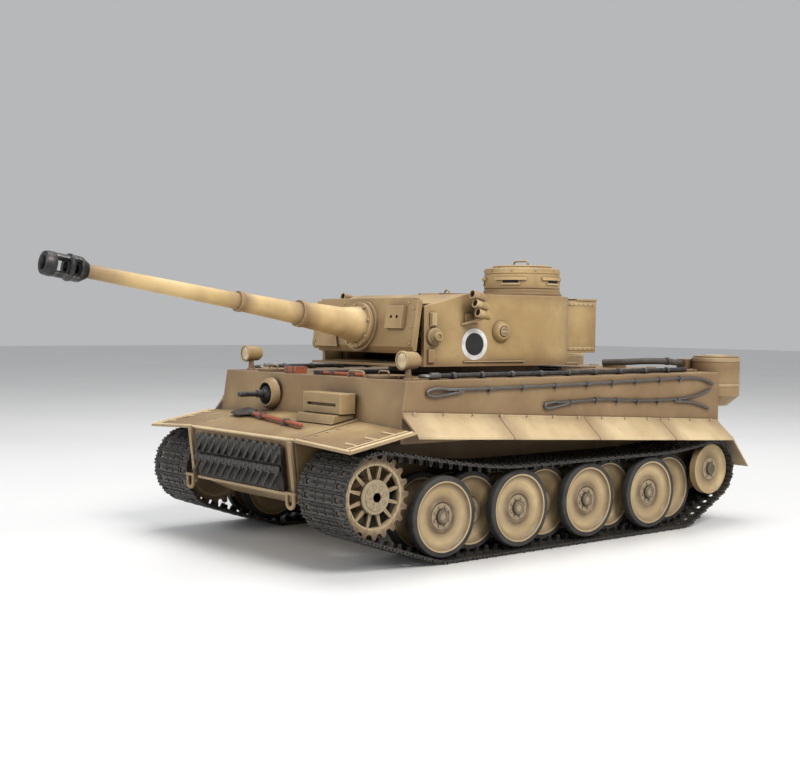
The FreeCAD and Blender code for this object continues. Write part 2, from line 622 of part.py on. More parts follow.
def wheel_pair():
    """Two dished discs with rubber tyres on one hub tube, built from its inner face at x = 0."""
    solids = []
    for layer, start in (("inner", "0"), ("outer", "wheel_spread")):
        solids.append(turned(f"disc_{layer}", [
            (start, "hub_radius + 0.02"), (f"{start} + wheel_width", "hub_radius + 0.02"),
            (f"{start} + wheel_width", "hub_radius + 4"),
            (f"{start} + wheel_width - 2.6", "wheel_radius - tyre_depth - 5"),
            (f"{start} + wheel_width - 0.4", "wheel_radius - tyre_depth"),
            (f"{start} + 0.4", "wheel_radius - tyre_depth"),
            (f"{start} + 1.6", "wheel_radius - tyre_depth - 5"), (start, "hub_radius + 4"),
        ]))
        solids.append(turned(f"tyre_{layer}", [
            (start, "wheel_radius - tyre_depth + 0.02"),
            (f"{start} + wheel_width", "wheel_radius - tyre_depth + 0.02"),
            (f"{start} + wheel_width", "wheel_radius - 0.8"),
            (f"{start} + wheel_width - 0.8", "wheel_radius"), (f"{start} + 0.8", "wheel_radius"),
            (start, "wheel_radius - 0.8"),
        ]))
    solids.append(turned("hub", [
        ("0", "axle_bore"), ("wheel_spread + wheel_width - 0.8", "axle_bore"),
        ("wheel_spread + wheel_width - 0.8", "0"), ("wheel_spread + wheel_width + 1.2", "0"),
        ("wheel_spread + wheel_width + 1.2", "hub_radius"), ("0", "hub_radius"),
    ]))
    return solids


def road_wheels():
    solids = wheel_pair()
    for side, name in ((1, "left"), (-1, "right")):
        for index in range(8):
            layer = "outer_layer" if index % 2 == 0 else "inner_layer"
            pair = group(f"pair_{name}_{index + 1}", *solids)
            turn = 0 if side > 0 else 180
            place(pair, f"{side} * {layer}", f"first_axle_y + {index} * axle_pitch", "axle_z", Z_AXIS, turn)
            node(f"road_wheel_{name}_{index + 1}", pair)


def toothed_ring(name, start, spokes):
    """One toothed ring of the drive sprocket, on spokes or on a plain disc."""
    rim = rod(f"{name}_rim", "tooth_root_radius", "ring_width", start, 0, 0, Y_AXIS, 90)
    rim_hole = rod(f"{name}_rim_hole", "tooth_root_radius - 4.2", "ring_width + 2", f"{start} - 1", 0, 0,
                   Y_AXIS, 90)
    pieces = [cut(f"{name}_rim_ring", rim, rim_hole)]
    for index in range(int(dim("tooth_count"))):
        tooth = new("Part::Wedge", f"{name}_tooth_{index}")
        bind(tooth, Xmin="0", Xmax="ring_width", X2min="0", X2max="ring_width", Ymin="tooth_root_radius - 1",
             Ymax="tooth_tip_radius", Zmin="-2.1", Zmax="2.1", Z2min="-0.9", Z2max="0.9")
        place(tooth, start, 0, 0, X_AXIS, index * 360 / dim("tooth_count"))
        pieces.append(tooth)
    hub_face = rod(f"{name}_face", "tooth_root_radius - 3" if not spokes else "10.5", "ring_width", start,
                   0, 0, Y_AXIS, 90)
    pieces.append(hub_face)
    if spokes:
        for index in range(int(dim("spoke_count"))):
            spoke = new("Part::Box", f"{name}_spoke_{index}")
            bind(spoke, Length="ring_width - 0.6", Width="tooth_root_radius - 12", Height="1.6")
            angle = index * 360 / dim("spoke_count")
            spoke.Placement = FreeCAD.Placement(V(0, 0, 0), FreeCAD.Rotation(X_AXIS, angle))
            offset = FreeCAD.Rotation(X_AXIS, angle).multVec(V(0, 9, -0.8))
            place(spoke, f"{start} + 0.3", round(offset.y, 4), round(offset.z, 4), X_AXIS, angle)
            pieces.append(spoke)
    bore = rod(f"{name}_bore", "shaft_bore", 40, f"{start} - 20", 0, 0, Y_AXIS, 90)
    return cut(name, fuse(f"{name}_body", *pieces), bore)


def sprockets():
    inner = toothed_ring("inner_ring", "sprocket_inner_x", False)
    outer = toothed_ring("outer_ring", "sprocket_outer_x", True)
    drum = turned("sprocket_drum", [
        ("sprocket_inner_x + ring_width", "shaft_bore"), ("sprocket_outer_x", "shaft_bore"),
        ("sprocket_outer_x", "9.5"), ("sprocket_inner_x + ring_width", "12"),
    ])
    cap = turned("sprocket_cap", [
        ("sprocket_outer_x + ring_width", "shaft_bore"), ("sprocket_outer_x + ring_width + 0.4", "shaft_bore"),
        ("sprocket_outer_x + ring_width + 0.4", "0"), ("sprocket_outer_x + ring_width + 2.6", "0"),
        ("sprocket_outer_x + ring_width + 2.6", "5"), ("sprocket_outer_x + ring_width", "9"),
    ])
    for name, turn in (("left", 0), ("right", 180)):
        wheel = group(f"sprocket_group_{name}", inner, outer, drum, cap)
        place(wheel, 0, "sprocket_y", "sprocket_z", Z_AXIS, turn)
        node(f"drive_sprocket_{name}", wheel)


def idlers():
    discs = []
    for layer, start in (("inner", "outer_layer"), ("outer", "outer_layer + wheel_spread")):
        discs.append(turned(f"idler_disc_{layer}", [
            (start, "hub_radius + 0.02"), (f"{start} + 5", "hub_radius + 0.02"), (f"{start} + 5", "hub_radius + 3"),
            (f"{start} + 3.4", "idler_radius - 5"), (f"{start} + 5", "idler_radius - 2"),
            (f"{start} + 5", "idler_radius"), (start, "idler_radius"), (start, "idler_radius - 2"),
            (f"{start} + 1.6", "idler_radius - 5"), (start, "hub_radius + 3"),
        ]))
    hub = turned("idler_hub", [
        ("outer_layer", "axle_bore"), ("outer_layer + wheel_spread + 4.4", "axle_bore"),
        ("outer_layer + wheel_spread + 4.4", "0"), ("outer_layer + wheel_spread + 6.4", "0"),
        ("outer_layer + wheel_spread + 6.4", "hub_radius"), ("outer_layer", "hub_radius"),
    ])
    for name, turn in (("left", 0), ("right", 180)):
        wheel = group(f"idler_group_{name}", *discs, hub)
        place(wheel, 0, "idler_y", "idler_z", Z_AXIS, turn)
        node(f"idler_{name}", wheel)


def arc_points(centre, radius, start, end, step=2.0):
    """Points along an arc; angles in degrees from +Y towards +Z."""
    count = max(2, int(abs(end - start) / step))
    points = []
    for index in range(count + 1):
        angle = math.radians(start + (end - start) * index / count)
        points.append((centre[0] + radius * math.cos(angle), centre[1] + radius * math.sin(angle)))
    return points


def outer_tangent_angle(centre_a, radius_a, centre_b, radius_b):
    """Direction of the shared normal of two circles' outer tangent, on the right of a to b."""
    dy, dz = centre_b[0] - centre_a[0], centre_b[1] - centre_a[1]
    distance = math.hypot(dy, dz)
    return math.degrees(math.atan2(dz, dy) - math.acos((radius_a - radius_b) / distance))


def eased(start, start_heading, end, end_heading, steps=40):
    """Smooth sagging run between two points with given headings in degrees."""
    span = math.hypot(end[0] - start[0], end[1] - start[1])
    t0 = (span * math.cos(math.radians(start_heading)), span * math.sin(math.radians(start_heading)))
    t1 = (span * math.cos(math.radians(end_heading)), span * math.sin(math.radians(end_heading)))
    points = []
    for index in range(1, steps):
        s = index / steps
        a, b = 2 * s ** 3 - 3 * s ** 2 + 1, s ** 3 - 2 * s ** 2 + s
        c, d = -2 * s ** 3 + 3 * s ** 2, s ** 3 - s ** 2
        points.append(tuple(a * start[k] + b * t0[k] + c * end[k] + d * t1[k] for k in (0, 1)))
    return points


def track_route():
    """Closed line of the track pins, seen from the side: (y, z) points, running rearward on top."""
    axles = axle_stations()
    wheel = dim("wheel_radius") + dim("pin_to_wheel")
    sprocket = ((dim("sprocket_y"), dim("sprocket_z")), 26.0)
    idler = ((dim("idler_y"), dim("idler_z")), dim("idler_wrap"))
    first, last = ((axles[0], dim("axle_z")), wheel), ((axles[-1], dim("axle_z")), wheel)
    leave, arrive = 82.0, 97.0
    top_z = dim("axle_z") + wheel + 0.1
    start = arc_points(*sprocket, leave, leave)[0]
    finish = arc_points(*idler, arrive, arrive)[0]
    points = [start]
    points += eased(start, leave - 90, (axles[2], top_z), 0)
    points += [(axles[2], top_z), (axles[6], top_z)]
    points += eased((axles[6], top_z), 0, finish, arrive - 90)
    rear = outer_tangent_angle(last[0], last[1], idler[0], idler[1])
    points += arc_points(*idler, arrive, rear)
    points += arc_points(*last, rear, -90)
    front = outer_tangent_angle(sprocket[0], sprocket[1], first[0], first[1])
    points += arc_points(*first, -90, front)
    points += arc_points(*sprocket, front, leave - 360)
    return points


def even_stations(points, count):
    """Positions spaced evenly along a closed line, and the spacing."""
    lengths = [0.0]
    for a, b in zip(points, points[1:]):
        lengths.append(lengths[-1] + math.hypot(b[0] - a[0], b[1] - a[1]))
    spacing = lengths[-1] / count
    stations = []
    k = 0
    for index in range(count):
        target = index * spacing
        while lengths[k + 1] < target:
            k += 1
        share = (target - lengths[k]) / max(lengths[k + 1] - lengths[k], 1e-9)
        stations.append(tuple(points[k][i] + share * (points[k + 1][i] - points[k][i]) for i in (0, 1)))
    return stations, spacing


def link_shape(spacing):
    """One track link: a plate with two grooves for the sprocket rings and two guide horns."""
    x0, x1, length = dim("track_inner_x"), dim("track_outer_x"), spacing - dim("link_gap")
    plate = Part.makeBox(x1 - x0, length, dim("link_out") + dim("link_in"), V(x0, -length / 2, -dim("link_out")))
    for start in (dim("sprocket_inner_x"), dim("sprocket_outer_x")):
        clearance = dim("groove_clearance")
        width = dim("ring_width") + 2 * clearance
        plate = plate.cut(Part.makeBox(width, length + 2, 5, V(start - clearance, -length / 2 - 1,
                                                               -dim("groove_floor"))))
    horn_size = (dim("horn_width"), dim("horn_length"), dim("horn_height") + 0.5)
    for x in (dim("horn_inner_x"), dim("horn_outer_x")):
        horn = Part.makeBox(*horn_size, V(x - horn_size[0] / 2, -horn_size[1] / 2, dim("link_in") - 0.5))
        plate = plate.fuse(horn)
    return plate.removeSplitter()


def tracks():
    stations, spacing = even_stations(track_route(), int(dim("link_count")))
    print("track pitch", round(spacing, 3))
    link = link_shape(spacing)
    for name, side in (("left", 1), ("right", -1)):
        links = []
        for (ya, za), (yb, zb) in zip(stations, stations[1:] + stations[:1]):
            copy = link.copy()
            if side < 0:
                copy.rotate(V(0, 0, 0), Z_AXIS, 180)
            heading = math.degrees(math.atan2(za - zb, ya - yb))
            turn = FreeCAD.Rotation(X_AXIS, heading)
            copy.Placement = FreeCAD.Placement(V(0, (ya + yb) / 2, (za + zb) / 2), turn).multiply(copy.Placement)
            links.append(copy)
        node(f"track_{name}", shaped(f"track_links_{name}", Part.makeCompound(links)))


# ------------------------------------------------------------------- inside

def insides():
    motors = []
    for side, name in ((1, "left"), (-1, "right")):
        case = block(f"gear_case_{name}", *([tuple(sorted((side * 18, side * 56)))]), (-112, -84), (40, 60))
        shaft = cross_rod(f"drive_shaft_{name}", "shaft_radius", *sorted((side * 50, side * 104.8)),
                          "sprocket_y", "sprocket_z")
        boss = cross_rod(f"final_drive_{name}", 9, *sorted((side * 60.05, side * 71.4)), "sprocket_y", "sprocket_z")
        motor = rod(f"motor_{name}", 11, 40, side * 37, -84, 46, X_AXIS, -90)
        motors.append(fuse(f"gearbox_{name}", case, shaft, motor, boss))
    node("gearboxes", group("gearbox_solids", *motors))
    node("battery_pack", block("battery", (-23, 23), (95, 185), ("belly_z + wall", 58)))
    board = block("board", (-40, 40), (25, 80), (60, 61.6))
    chips = [block(f"chip_{index}", (-30 + 22 * index, -16 + 22 * index), (38, 56), (61.6, 65))
             for index in range(3)]
    node("control_board", group("control_board_solids", board, *chips))
    node("speaker", rod("speaker_drum", 18, 16, -34, 10, "belly_z + wall + 0.05"))
    stand = rod("turret_motor", 8, 22, 36, 28, 78)
    pinion = rod("turret_pinion", 5, 5, 36, 28, 100)
    node("turret_drive", fuse("turret_drive_solid", stand, pinion))


# ------------------------------------------------------------------- turret

def horseshoe(grow, z0, z1):
    """Turret plan: straight tapering sides closed by a round rear, as a solid between two heights."""
    front_y, half = dim("turret_front_y"), dim("turret_front_half") + grow
    radius, centre_y = dim("turret_radius") + grow, dim("turret_round_y")
    distance = math.hypot(half, front_y - centre_y)
    base = math.atan2(front_y - centre_y, half)
    touch = base + math.acos(min(1.0, radius / distance)) if distance > radius else base
    tangent = (radius * math.cos(touch), centre_y + radius * math.sin(touch))
    corners = [V(-half, front_y, z0), V(half, front_y, z0), V(tangent[0], tangent[1], z0),
               V(-tangent[0], tangent[1], z0)]
    edges = [Part.LineSegment(corners[0], corners[1]).toShape(), Part.LineSegment(corners[1], corners[2]).toShape(),
             Part.Arc(corners[2], V(0, centre_y + radius, z0), corners[3]).toShape(),
             Part.LineSegment(corners[3], corners[0]).toShape()]
    return Part.Face(Part.Wire(edges)).extrude(V(0, 0, z1 - z0))


def wedge_above(y0, z0, y1, z1, half=90, height=40):
    """Solid above a sloping plane, used to slope the front of the roof."""
    corners = [V(-half, y0, z0), V(-half, y1, z1), V(-half, y1, z1 + height), V(-half, y0, z0 + height)]
    return Part.Face(Part.makePolygon(corners + corners[:1])).extrude(V(2 * half, 0, 0))


def turret_shell():
    wall = dim("turret_wall")
    z0, z1 = dim("turret_z"), dim("turret_roof_z")
    slope = (dim("turret_front_y") - 20, dim("roof_front_z") - 7, dim("roof_break_y"), z1)
    shell = horseshoe(0, z0, z1).cut(wedge_above(*slope))
    inner_slope = (slope[0], slope[1] - wall, slope[2], slope[3] - wall)
    inside = horseshoe(-wall, z0 + 2, z1 - wall).cut(wedge_above(*inner_slope))
    shell = shell.cut(inside)
    front_half = dim("turret_front_half") - wall
    shell = shell.cut(Part.makeBox(2 * front_half, 20, 60, V(-front_half, dim("turret_front_y") - 12, z0 + 1.6)))
    shell = shell.cut(Part.makeBox(2 * front_half, 30, 30, V(-front_half, dim("roof_front_y") - 30, 145)))
    shell = shell.cut(Part.makeCylinder(44, 10, V(0, 0, z0 - 4)))
    shell = shell.cut(Part.makeCylinder(19, 12, V(dim("cupola_x"), dim("cupola_y"), z1 - 6)))
    shell = shell.cut(Part.makeBox(24, 20, 12, V(-40, -4, z1 - 6)))
    ledge_half = dim("ledge_half")
    ledge = Part.makeBox(2 * ledge_half, dim("turret_front_y") - dim("ledge_y") + 3, dim("ledge_z") - z0,
                         V(-ledge_half, dim("ledge_y"), z0))
    cheeks = []
    for side in (1, -1):
        x = side * (front_half - 1.5)
        cheek = Part.makeBox(5, 16, 30, V(x - 2.5, dim("trunnion_y") - 8, z0 + 2))
        pin_hole = Part.makeCylinder(dim("trunnion_pin") + 0.08, 12,
                                     V(x - 6, dim("trunnion_y"), dim("trunnion_z")), X_AXIS)
        cheeks.append(cheek.cut(pin_hole))
    body = shell.fuse([ledge] + cheeks).removeSplitter()
    body.translate(V(0, dim("turret_y"), 0))
    node("turret_shell", shaped("turret_body", body))


def turret_parts():
    y = dim("turret_y")
    ring = Part.makeCylinder(48.6, 9.0, V(0, y, dim("roof_z") - 3)).cut(
        Part.makeCylinder(44.2, 20, V(0, y, dim("roof_z") - 6)))
    collar = Part.makeCylinder(54, dim("turret_z") - dim("roof_z") - 0.7, V(0, y, dim("roof_z") + 0.5)).cut(
        Part.makeCylinder(44.2, 20, V(0, y, dim("roof_z") - 6)))
    ring = ring.fuse(collar).removeSplitter()
    gap = Part.makeCylinder(60, 5, V(0, y, dim("turret_z")))
    node("turret_ring", shaped("turret_ring_solid", ring.cut(gap)))
    cx, cy = dim("cupola_x"), y + dim("cupola_y")
    roof, top, radius = dim("turret_roof_z"), dim("cupola_top_z"), dim("cupola_radius")
    drum = Part.makeCylinder(radius, top - roof, V(cx, cy, roof))
    flange = Part.makeCylinder(radius + 1.4, 2.2, V(cx, cy, roof))
    drum = drum.fuse(flange).cut(Part.makeCylinder(18.4, 40, V(cx, cy, roof - 5)))
    for index in range(5):
        angle = 72 * index - 46
        slit = Part.makeBox(6, 13, 1.8, V(radius - 3.2, -6.5, roof + 9))
        slit.rotate(V(0, 0, 0), Z_AXIS, angle)
        slit.translate(V(cx, cy, 0))
        drum = drum.cut(slit)
    keep_on_roof = horseshoe(0, roof - 1, top + 5)
    keep_on_roof.translate(V(0, y, 0))
    node("cupola", shaped("cupola_drum", drum))
    lid = Part.makeCylinder(hatch_radius(), 1.8, V(cx, cy, top + 0.1))
    plug = Part.makeCylinder(17.8, 2.4, V(cx, cy, top - 2.2))
    handle = Part.makeTorus(3.0, 0.6, V(cx, cy - 8, top + 1.9), Y_AXIS)
    hinge = Part.makeCylinder(1.2, 12, V(cx - 6, cy + 22.4, top + 1.3), X_AXIS)
    tongue = Part.makeBox(9, 5, 1.4, V(cx - 4.5, cy + 17.5, top + 0.4))
    hatch = lid.fuse([plug, handle, hinge, tongue]).removeSplitter()
    node("commander_hatch", shaped("commander_lid", hatch))
    lid = Part.makeBox(30, 26, 2.2, V(-43, y - 7, roof + 0.3))
    plug = Part.makeBox(23, 19, 2.4, V(-39.5, y - 3.5, roof - 1.9))
    handle = Part.makeTorus(2.6, 0.6, V(-28, y + 8, roof + 2.6), Y_AXIS)
    hinge = Part.makeCylinder(1.2, 20, V(-38, y - 8.0, roof + 1.3), X_AXIS)
    node("loader_hatch", shaped("loader_lid", lid.fuse([plug, handle, hinge]).removeSplitter()))


def hatch_radius():
    return dim("hatch_radius")


def stowage_bin():
    y = dim("turret_y")
    half, z0, z1 = dim("bin_half_width"), dim("bin_low_z"), dim("bin_top_z")
    outer = Part.makeBox(2 * half, 55, z1 - z0, V(-half, dim("bin_rear_y") - 55, z0))
    inner = Part.makeBox(2 * half - 3, 55, z1 - z0 - 3, V(-half + 1.5, dim("bin_rear_y") - 56.5, z0 + 1.5))
    wall_gap = Part.makeCylinder(dim("turret_radius") + 0.3, 80, V(0, dim("turret_round_y"), z0 - 10))
    skin = Part.makeCylinder(dim("turret_radius") + 2.0, 80, V(0, dim("turret_round_y"), z0 - 10))
    case = outer.cut(wall_gap).cut(inner.cut(skin))
    lid = Part.makeBox(2 * half + 1.2, 22, 1.4, V(-half - 0.6, dim("bin_rear_y") - 21.4, z1))
    lid = lid.cut(wall_gap)
    case = case.fuse(lid).removeSplitter()
    case.translate(V(0, y, 0))
    node("stowage_bin", shaped("bin_solid", case))


def side_wall_x(local_y):
    """Outer face of the turret's straight side wall at a station ahead of the round rear."""
    share = (local_y - dim("turret_front_y")) / (dim("turret_round_y") - dim("turret_front_y"))
    return dim("turret_front_half") + share * (dim("turret_radius") - dim("turret_front_half"))


def on_wall(item, side, local_y, z):
    """Seat a piece built about the origin, facing +X, square on the turret's side wall."""
    taper = math.degrees(math.atan2(dim("turret_radius") - dim("turret_front_half"),
                                    dim("turret_round_y") - dim("turret_front_y")))
    seated = item.copy()
    seated.rotate(V(0, 0, 0), Z_AXIS, -taper - 1.0)
    seated.translate(V(side_wall_x(local_y) + 0.45, dim("turret_y") + local_y, z))
    return seated if side > 0 else seated.mirror(V(0, 0, 0), X_AXIS)


def turret_fittings():
    """Pistol ports, lifting pegs, vision blocks and the smoke dischargers of both sides."""
    peg = Part.makeCylinder(5.4, 2.4, V(0, 0, 0), X_AXIS).fuse(Part.makeCylinder(2.9, 6.6, V(0, 0, 0), X_AXIS))
    port = Part.makeCone(7.2, 3.6, 4.2, V(0, 0, 0), X_AXIS)
    vision = Part.makeBox(1.8, 4.6, 8.4, V(0, -2.3, -4.2))
    low_plate = Part.makeBox(1.2, 4.6, 8.0, V(0, -2.3, -4.0))
    fittings = []
    dischargers = []
    for side in (1, -1):
        fittings.append(on_wall(peg.removeSplitter(), side, -75, 136))
        fittings.append(on_wall(port, side, -23.5, 139.4))
        fittings.append(on_wall(vision, side, -78, 147))
        fittings.append(on_wall(low_plate, side, -79.5, 123.5))
        plate = Part.makeBox(7.5, 13, 1.4, V(0, -6.5, -0.7))
        spine = Part.makeBox(2.4, 12, 15, V(5.1, -6, -0.7))
        tubes = []
        for x, y, z in ((11.5, -3.0, 12.5), (13.5, 0.5, 6.6), (11.0, 4.0, 1.4)):
            heading = V(0.45, -0.78, 0.42)
            tubes.append(Part.makeCylinder(3.1, 13, V(x, y, z) - heading * 6, heading))
        cluster = plate.fuse([spine] + tubes).removeSplitter()
        dischargers.append(on_wall(cluster, side, -47.5, 149))
    node("turret_fittings", shaped("turret_fitting_solids", Part.makeCompound(fittings)))
    node("smoke_dischargers", shaped("discharger_solids", Part.makeCompound(dischargers)))


def gun_place(item):
    """Turn a level gun part to its resting angle about the trunnion."""
    trunnion = V(0, dim("turret_y") + dim("trunnion_y"), dim("trunnion_z"))
    item.Placement = FreeCAD.Placement(trunnion, FreeCAD.Rotation(X_AXIS, -dim("gun_rest_angle")))
    bind(item, Placement__Base__y="turret_y + trunnion_y", Placement__Base__z="trunnion_z")
    return item


def gun():
    back, front = dim("mantlet_back"), dim("mantlet_front")
    top, low, half = dim("mantlet_top"), dim("mantlet_low"), dim("mantlet_half")
    plate = Part.makeBox(2 * half, front - back, top + low, V(-half, -front, -low))
    rim = Part.makeBox(2 * half + 9.8, 4.0, top + low - 3, V(-half - 4.9, -front, -low + 1.5))
    plate = plate.fuse(rim)
    bottom_trim = wedge_above(-front - 1, -low + 5.2, -front + 6, -low - 3, half + 6, 50)
    plate = plate.common(bottom_trim)
    sight = Part.makeBox(17, 3.2, 15, V(28, -front - 3.0, -1.5))
    for x in (33.5, 39.5):
        sight = sight.cut(Part.makeCylinder(1.2, 8, V(x, -front - 5, 6), Y_AXIS))
    collar = Part.makeCylinder(low, 2.1, V(0, -front + 0.2, 0), V(0, -1, 0))
    cradle = Part.makeBox(36, 34, 22, V(-18, -back - 0.5, -11))
    pins = Part.makeCylinder(dim("trunnion_pin"), 2 * (half - 1.0), V(-half + 1.0, 0, 0), X_AXIS)
    bore = Part.makeCylinder(dim("bore_radius"), 80, V(0, 10, 0), V(0, -1, 0))
    mantlet = plate.fuse([sight, collar, cradle, pins]).removeSplitter().cut(bore)
    node("mantlet", gun_place(shaped("mantlet_solid", mantlet)))
    start = "mantlet_front + 2.0"
    barrel = turned("barrel_tube", [
        (start, "bore_radius"), ("thin_end", "bore_radius"), ("thin_end", "thin_radius"),
        ("step_end + 1.6", "thin_root_radius"), ("step_end + 1.6", "step_radius + 0.6"),
        ("step_end - 1.6", "step_radius + 0.6"), ("step_end - 1.6", "step_radius"),
        ("sleeve_end + 2", "step_root_radius"), ("sleeve_end + 2", "sleeve_radius + 0.5"),
        ("sleeve_end - 2", "sleeve_radius + 0.5"), ("sleeve_end - 2", "sleeve_radius"),
        ("flange_end + 14", "sleeve_radius + 1.6"), ("flange_end + 1.6", "sleeve_root_radius"),
        ("flange_end + 1.6", "flange_radius"), (start, "flange_radius"),
    ])
    node("gun_barrel", aimed("gun_barrel_solid", barrel))
    brake = turned("brake_body", [
        ("thin_end", "bore_radius"), ("muzzle_end", "bore_radius"), ("muzzle_end", "brake_radius - 1.2"),
        ("muzzle_end - 4", "brake_radius"), ("muzzle_end - 7", "brake_radius - 0.6"),
        ("muzzle_end - 12", "brake_radius - 0.6"), ("muzzle_end - 13", "brake_radius + 0.6"),
        ("muzzle_end - 16", "brake_radius + 0.6"), ("thin_end + 4", "thin_radius + 0.8"),
        ("thin_end", "thin_radius + 0.4"),
    ])
    windows = [block(f"brake_window_{index}", (f"muzzle_end - {start_}", f"muzzle_end - {end_}"),
                     (-12, 12), (-3.4, 3.4)) for index, (start_, end_) in enumerate(((9.6, 5), (18.5, 14.8)))]
    for window in windows[1:]:
        bind(window, Length="2.6")
    pierced = cut("brake_pierced", brake, windows[0])
    node("muzzle_brake", aimed("muzzle_brake_solid", pierced))


def aimed(name, item):
    """Point a piece turned about +X along the bore, at the gun's resting angle."""
    holder = group(name, item)
    level = FreeCAD.Rotation(Z_AXIS, -90)
    holder.Placement = FreeCAD.Placement(V(0, 0, 0), FreeCAD.Rotation(X_AXIS, -dim("gun_rest_angle")) * level)
    bind(holder, Placement__Base__y="turret_y + trunnion_y", Placement__Base__z="trunnion_z")
    return holder


# -------------------------------------------------------------------- build

for make in (lower_hull, upper_hull, engine_deck, side_skirts, mudguards, driver_visor, hull_gun,
             headlights, hull_hatches, spare_track, tow_shackles, tow_cables, track_cable, cable_clips,
             hand_tools, air_filters, filter_hoses, exhausts, swing_arms, road_wheels, sprockets, idlers,
             tracks, insides, turret_shell, turret_parts, stowage_bin, turret_fittings, gun):
    make()
sheet.clear("D1")
doc.recompute()

for item in doc.Objects:
    if "Invalid" in item.State or "Error" in item.State:
        raise RuntimeError(f"{item.Name} failed: {item.State}")
os.makedirs("parts", exist_ok=True)
labels = [item.Label for item in NODES]
if len(set(labels)) != len(labels) or len(labels) > 60:
    raise RuntimeError("sub-part labels must differ, and there may be at most 60")
for item in NODES:
    shape = item.Shape
    if shape.isNull() or not shape.isValid() or not shape.Solids:
        raise RuntimeError(f"{item.Label} has no valid solid")
    shape.exportStep(f"parts/{item.Label}.step")
print(len(NODES), "sub-parts written")
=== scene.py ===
import json
import math

import bmesh
import bpy
from mathutils import Matrix, Vector, bvhtree


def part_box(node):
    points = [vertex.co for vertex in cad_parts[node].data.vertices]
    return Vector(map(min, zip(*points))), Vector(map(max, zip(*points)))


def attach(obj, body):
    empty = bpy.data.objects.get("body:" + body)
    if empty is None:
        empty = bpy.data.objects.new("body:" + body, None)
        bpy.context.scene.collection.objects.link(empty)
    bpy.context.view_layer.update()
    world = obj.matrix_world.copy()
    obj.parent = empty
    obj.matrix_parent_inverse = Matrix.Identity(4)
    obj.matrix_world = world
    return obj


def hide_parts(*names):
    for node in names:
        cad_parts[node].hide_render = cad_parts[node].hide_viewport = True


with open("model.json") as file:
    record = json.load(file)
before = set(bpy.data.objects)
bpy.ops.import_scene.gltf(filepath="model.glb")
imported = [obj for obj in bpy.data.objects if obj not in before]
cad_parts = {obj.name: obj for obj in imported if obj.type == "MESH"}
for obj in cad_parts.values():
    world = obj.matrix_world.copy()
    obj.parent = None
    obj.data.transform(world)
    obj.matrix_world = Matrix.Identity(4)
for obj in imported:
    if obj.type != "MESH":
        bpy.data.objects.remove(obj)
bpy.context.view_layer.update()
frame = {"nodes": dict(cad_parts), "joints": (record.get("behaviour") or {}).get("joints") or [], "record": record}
RECORD = frame["record"]
JOINTS = {joint["name"]: joint for joint in frame["joints"]}
MM = 0.001
JOIN_DISTANCE = 0.01 * MM
BEVEL_ANGLE = 32.0
SIDES = (("left", 1), ("right", -1))


# ------------------------------------------------------------ small helpers

def mm(*values):
    return Vector([value * MM for value in values])


def smoothstep(low, high, value):
    t = max(0.0, min(1.0, (value - low) / (high - low)))
    return t * t * (3 - 2 * t)


def joint_point(name):
    return Vector(JOINTS[name]["pos_m"])


def body_of(node):
    for body, members in RECORD["behaviour"]["bodies"].items():
        if node in members:
            return body
    raise ValueError(node)


def link_object(name, mesh):
    item = bpy.data.objects.new(name, mesh)
    bpy.context.scene.collection.objects.link(item)
    return item


def to_object(name, bm, material, crease=35.0):
    """Finish a bmesh as an object: smooth faces, sharp where they meet at more than the crease."""
    bm.normal_update()
    for face in bm.faces:
        face.smooth = True
    limit = math.radians(crease)
    for edge in bm.edges:
        if len(edge.link_faces) == 2:
            edge.smooth = edge.calc_face_angle(0.0) < limit
    mesh = bpy.data.meshes.new(name)
    bm.to_mesh(mesh)
    bm.free()
    if material is not None:
        mesh.materials.append(material)
    return link_object(name, mesh)


def baked(item):
    """Replace an object's mesh with its evaluated mesh and drop its modifiers."""
    bpy.context.view_layer.update()
    mesh = bpy.data.meshes.new_from_object(item.evaluated_get(bpy.context.evaluated_depsgraph_get()))
    mesh.name = item.name
    item.modifiers.clear()
    item.data = mesh
    return item


def bevelled(item, width):
    """Round the edges of a piece by a width in metres."""
    modifier = item.modifiers.new("bevel", "BEVEL")
    modifier.width = width
    modifier.segments = 2
    modifier.limit_method = "ANGLE"
    modifier.angle_limit = math.radians(BEVEL_ANGLE)
    modifier.harden_normals = True
    return baked(item)


def settle(item, node):
    """Make a finished piece ride on the body of a CAD node, in the node's place, and hide the node."""
    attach(item, body_of(node))
    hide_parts(node)
    return item


def join(name, items):
    """One mesh from several objects, with their materials."""
    bm = bmesh.new()
    slots = []
    for item in items:
        start = len(bm.faces)
        bm.from_mesh(item.data)
        bm.faces.ensure_lookup_table()
        for face in bm.faces[start:]:
            own = item.data.materials[face.material_index] if item.data.materials else None
            if own not in slots:
                slots.append(own)
            face.material_index = slots.index(own)
    mesh = bpy.data.meshes.new(name)
    bm.to_mesh(mesh)
    bm.free()
    for own in slots:
        mesh.materials.append(own)
    for item in items:
        bpy.data.objects.remove(item)
    return link_object(name, mesh)


def cad_copy(node, name, material):
    """A copy of a CAD node's mesh with its triangles joined into whole faces."""
    bm = bmesh.new()
    bm.from_mesh(frame["nodes"][node].data)
    bmesh.ops.remove_doubles(bm, verts=bm.verts, dist=JOIN_DISTANCE)
    bmesh.ops.dissolve_limit(bm, angle_limit=math.radians(1.0), verts=bm.verts, edges=bm.edges)
    for face in bm.faces:
        face.material_index = 0
    return to_object(name, bm, material)


# ------------------------------------------------------------ mesh builders

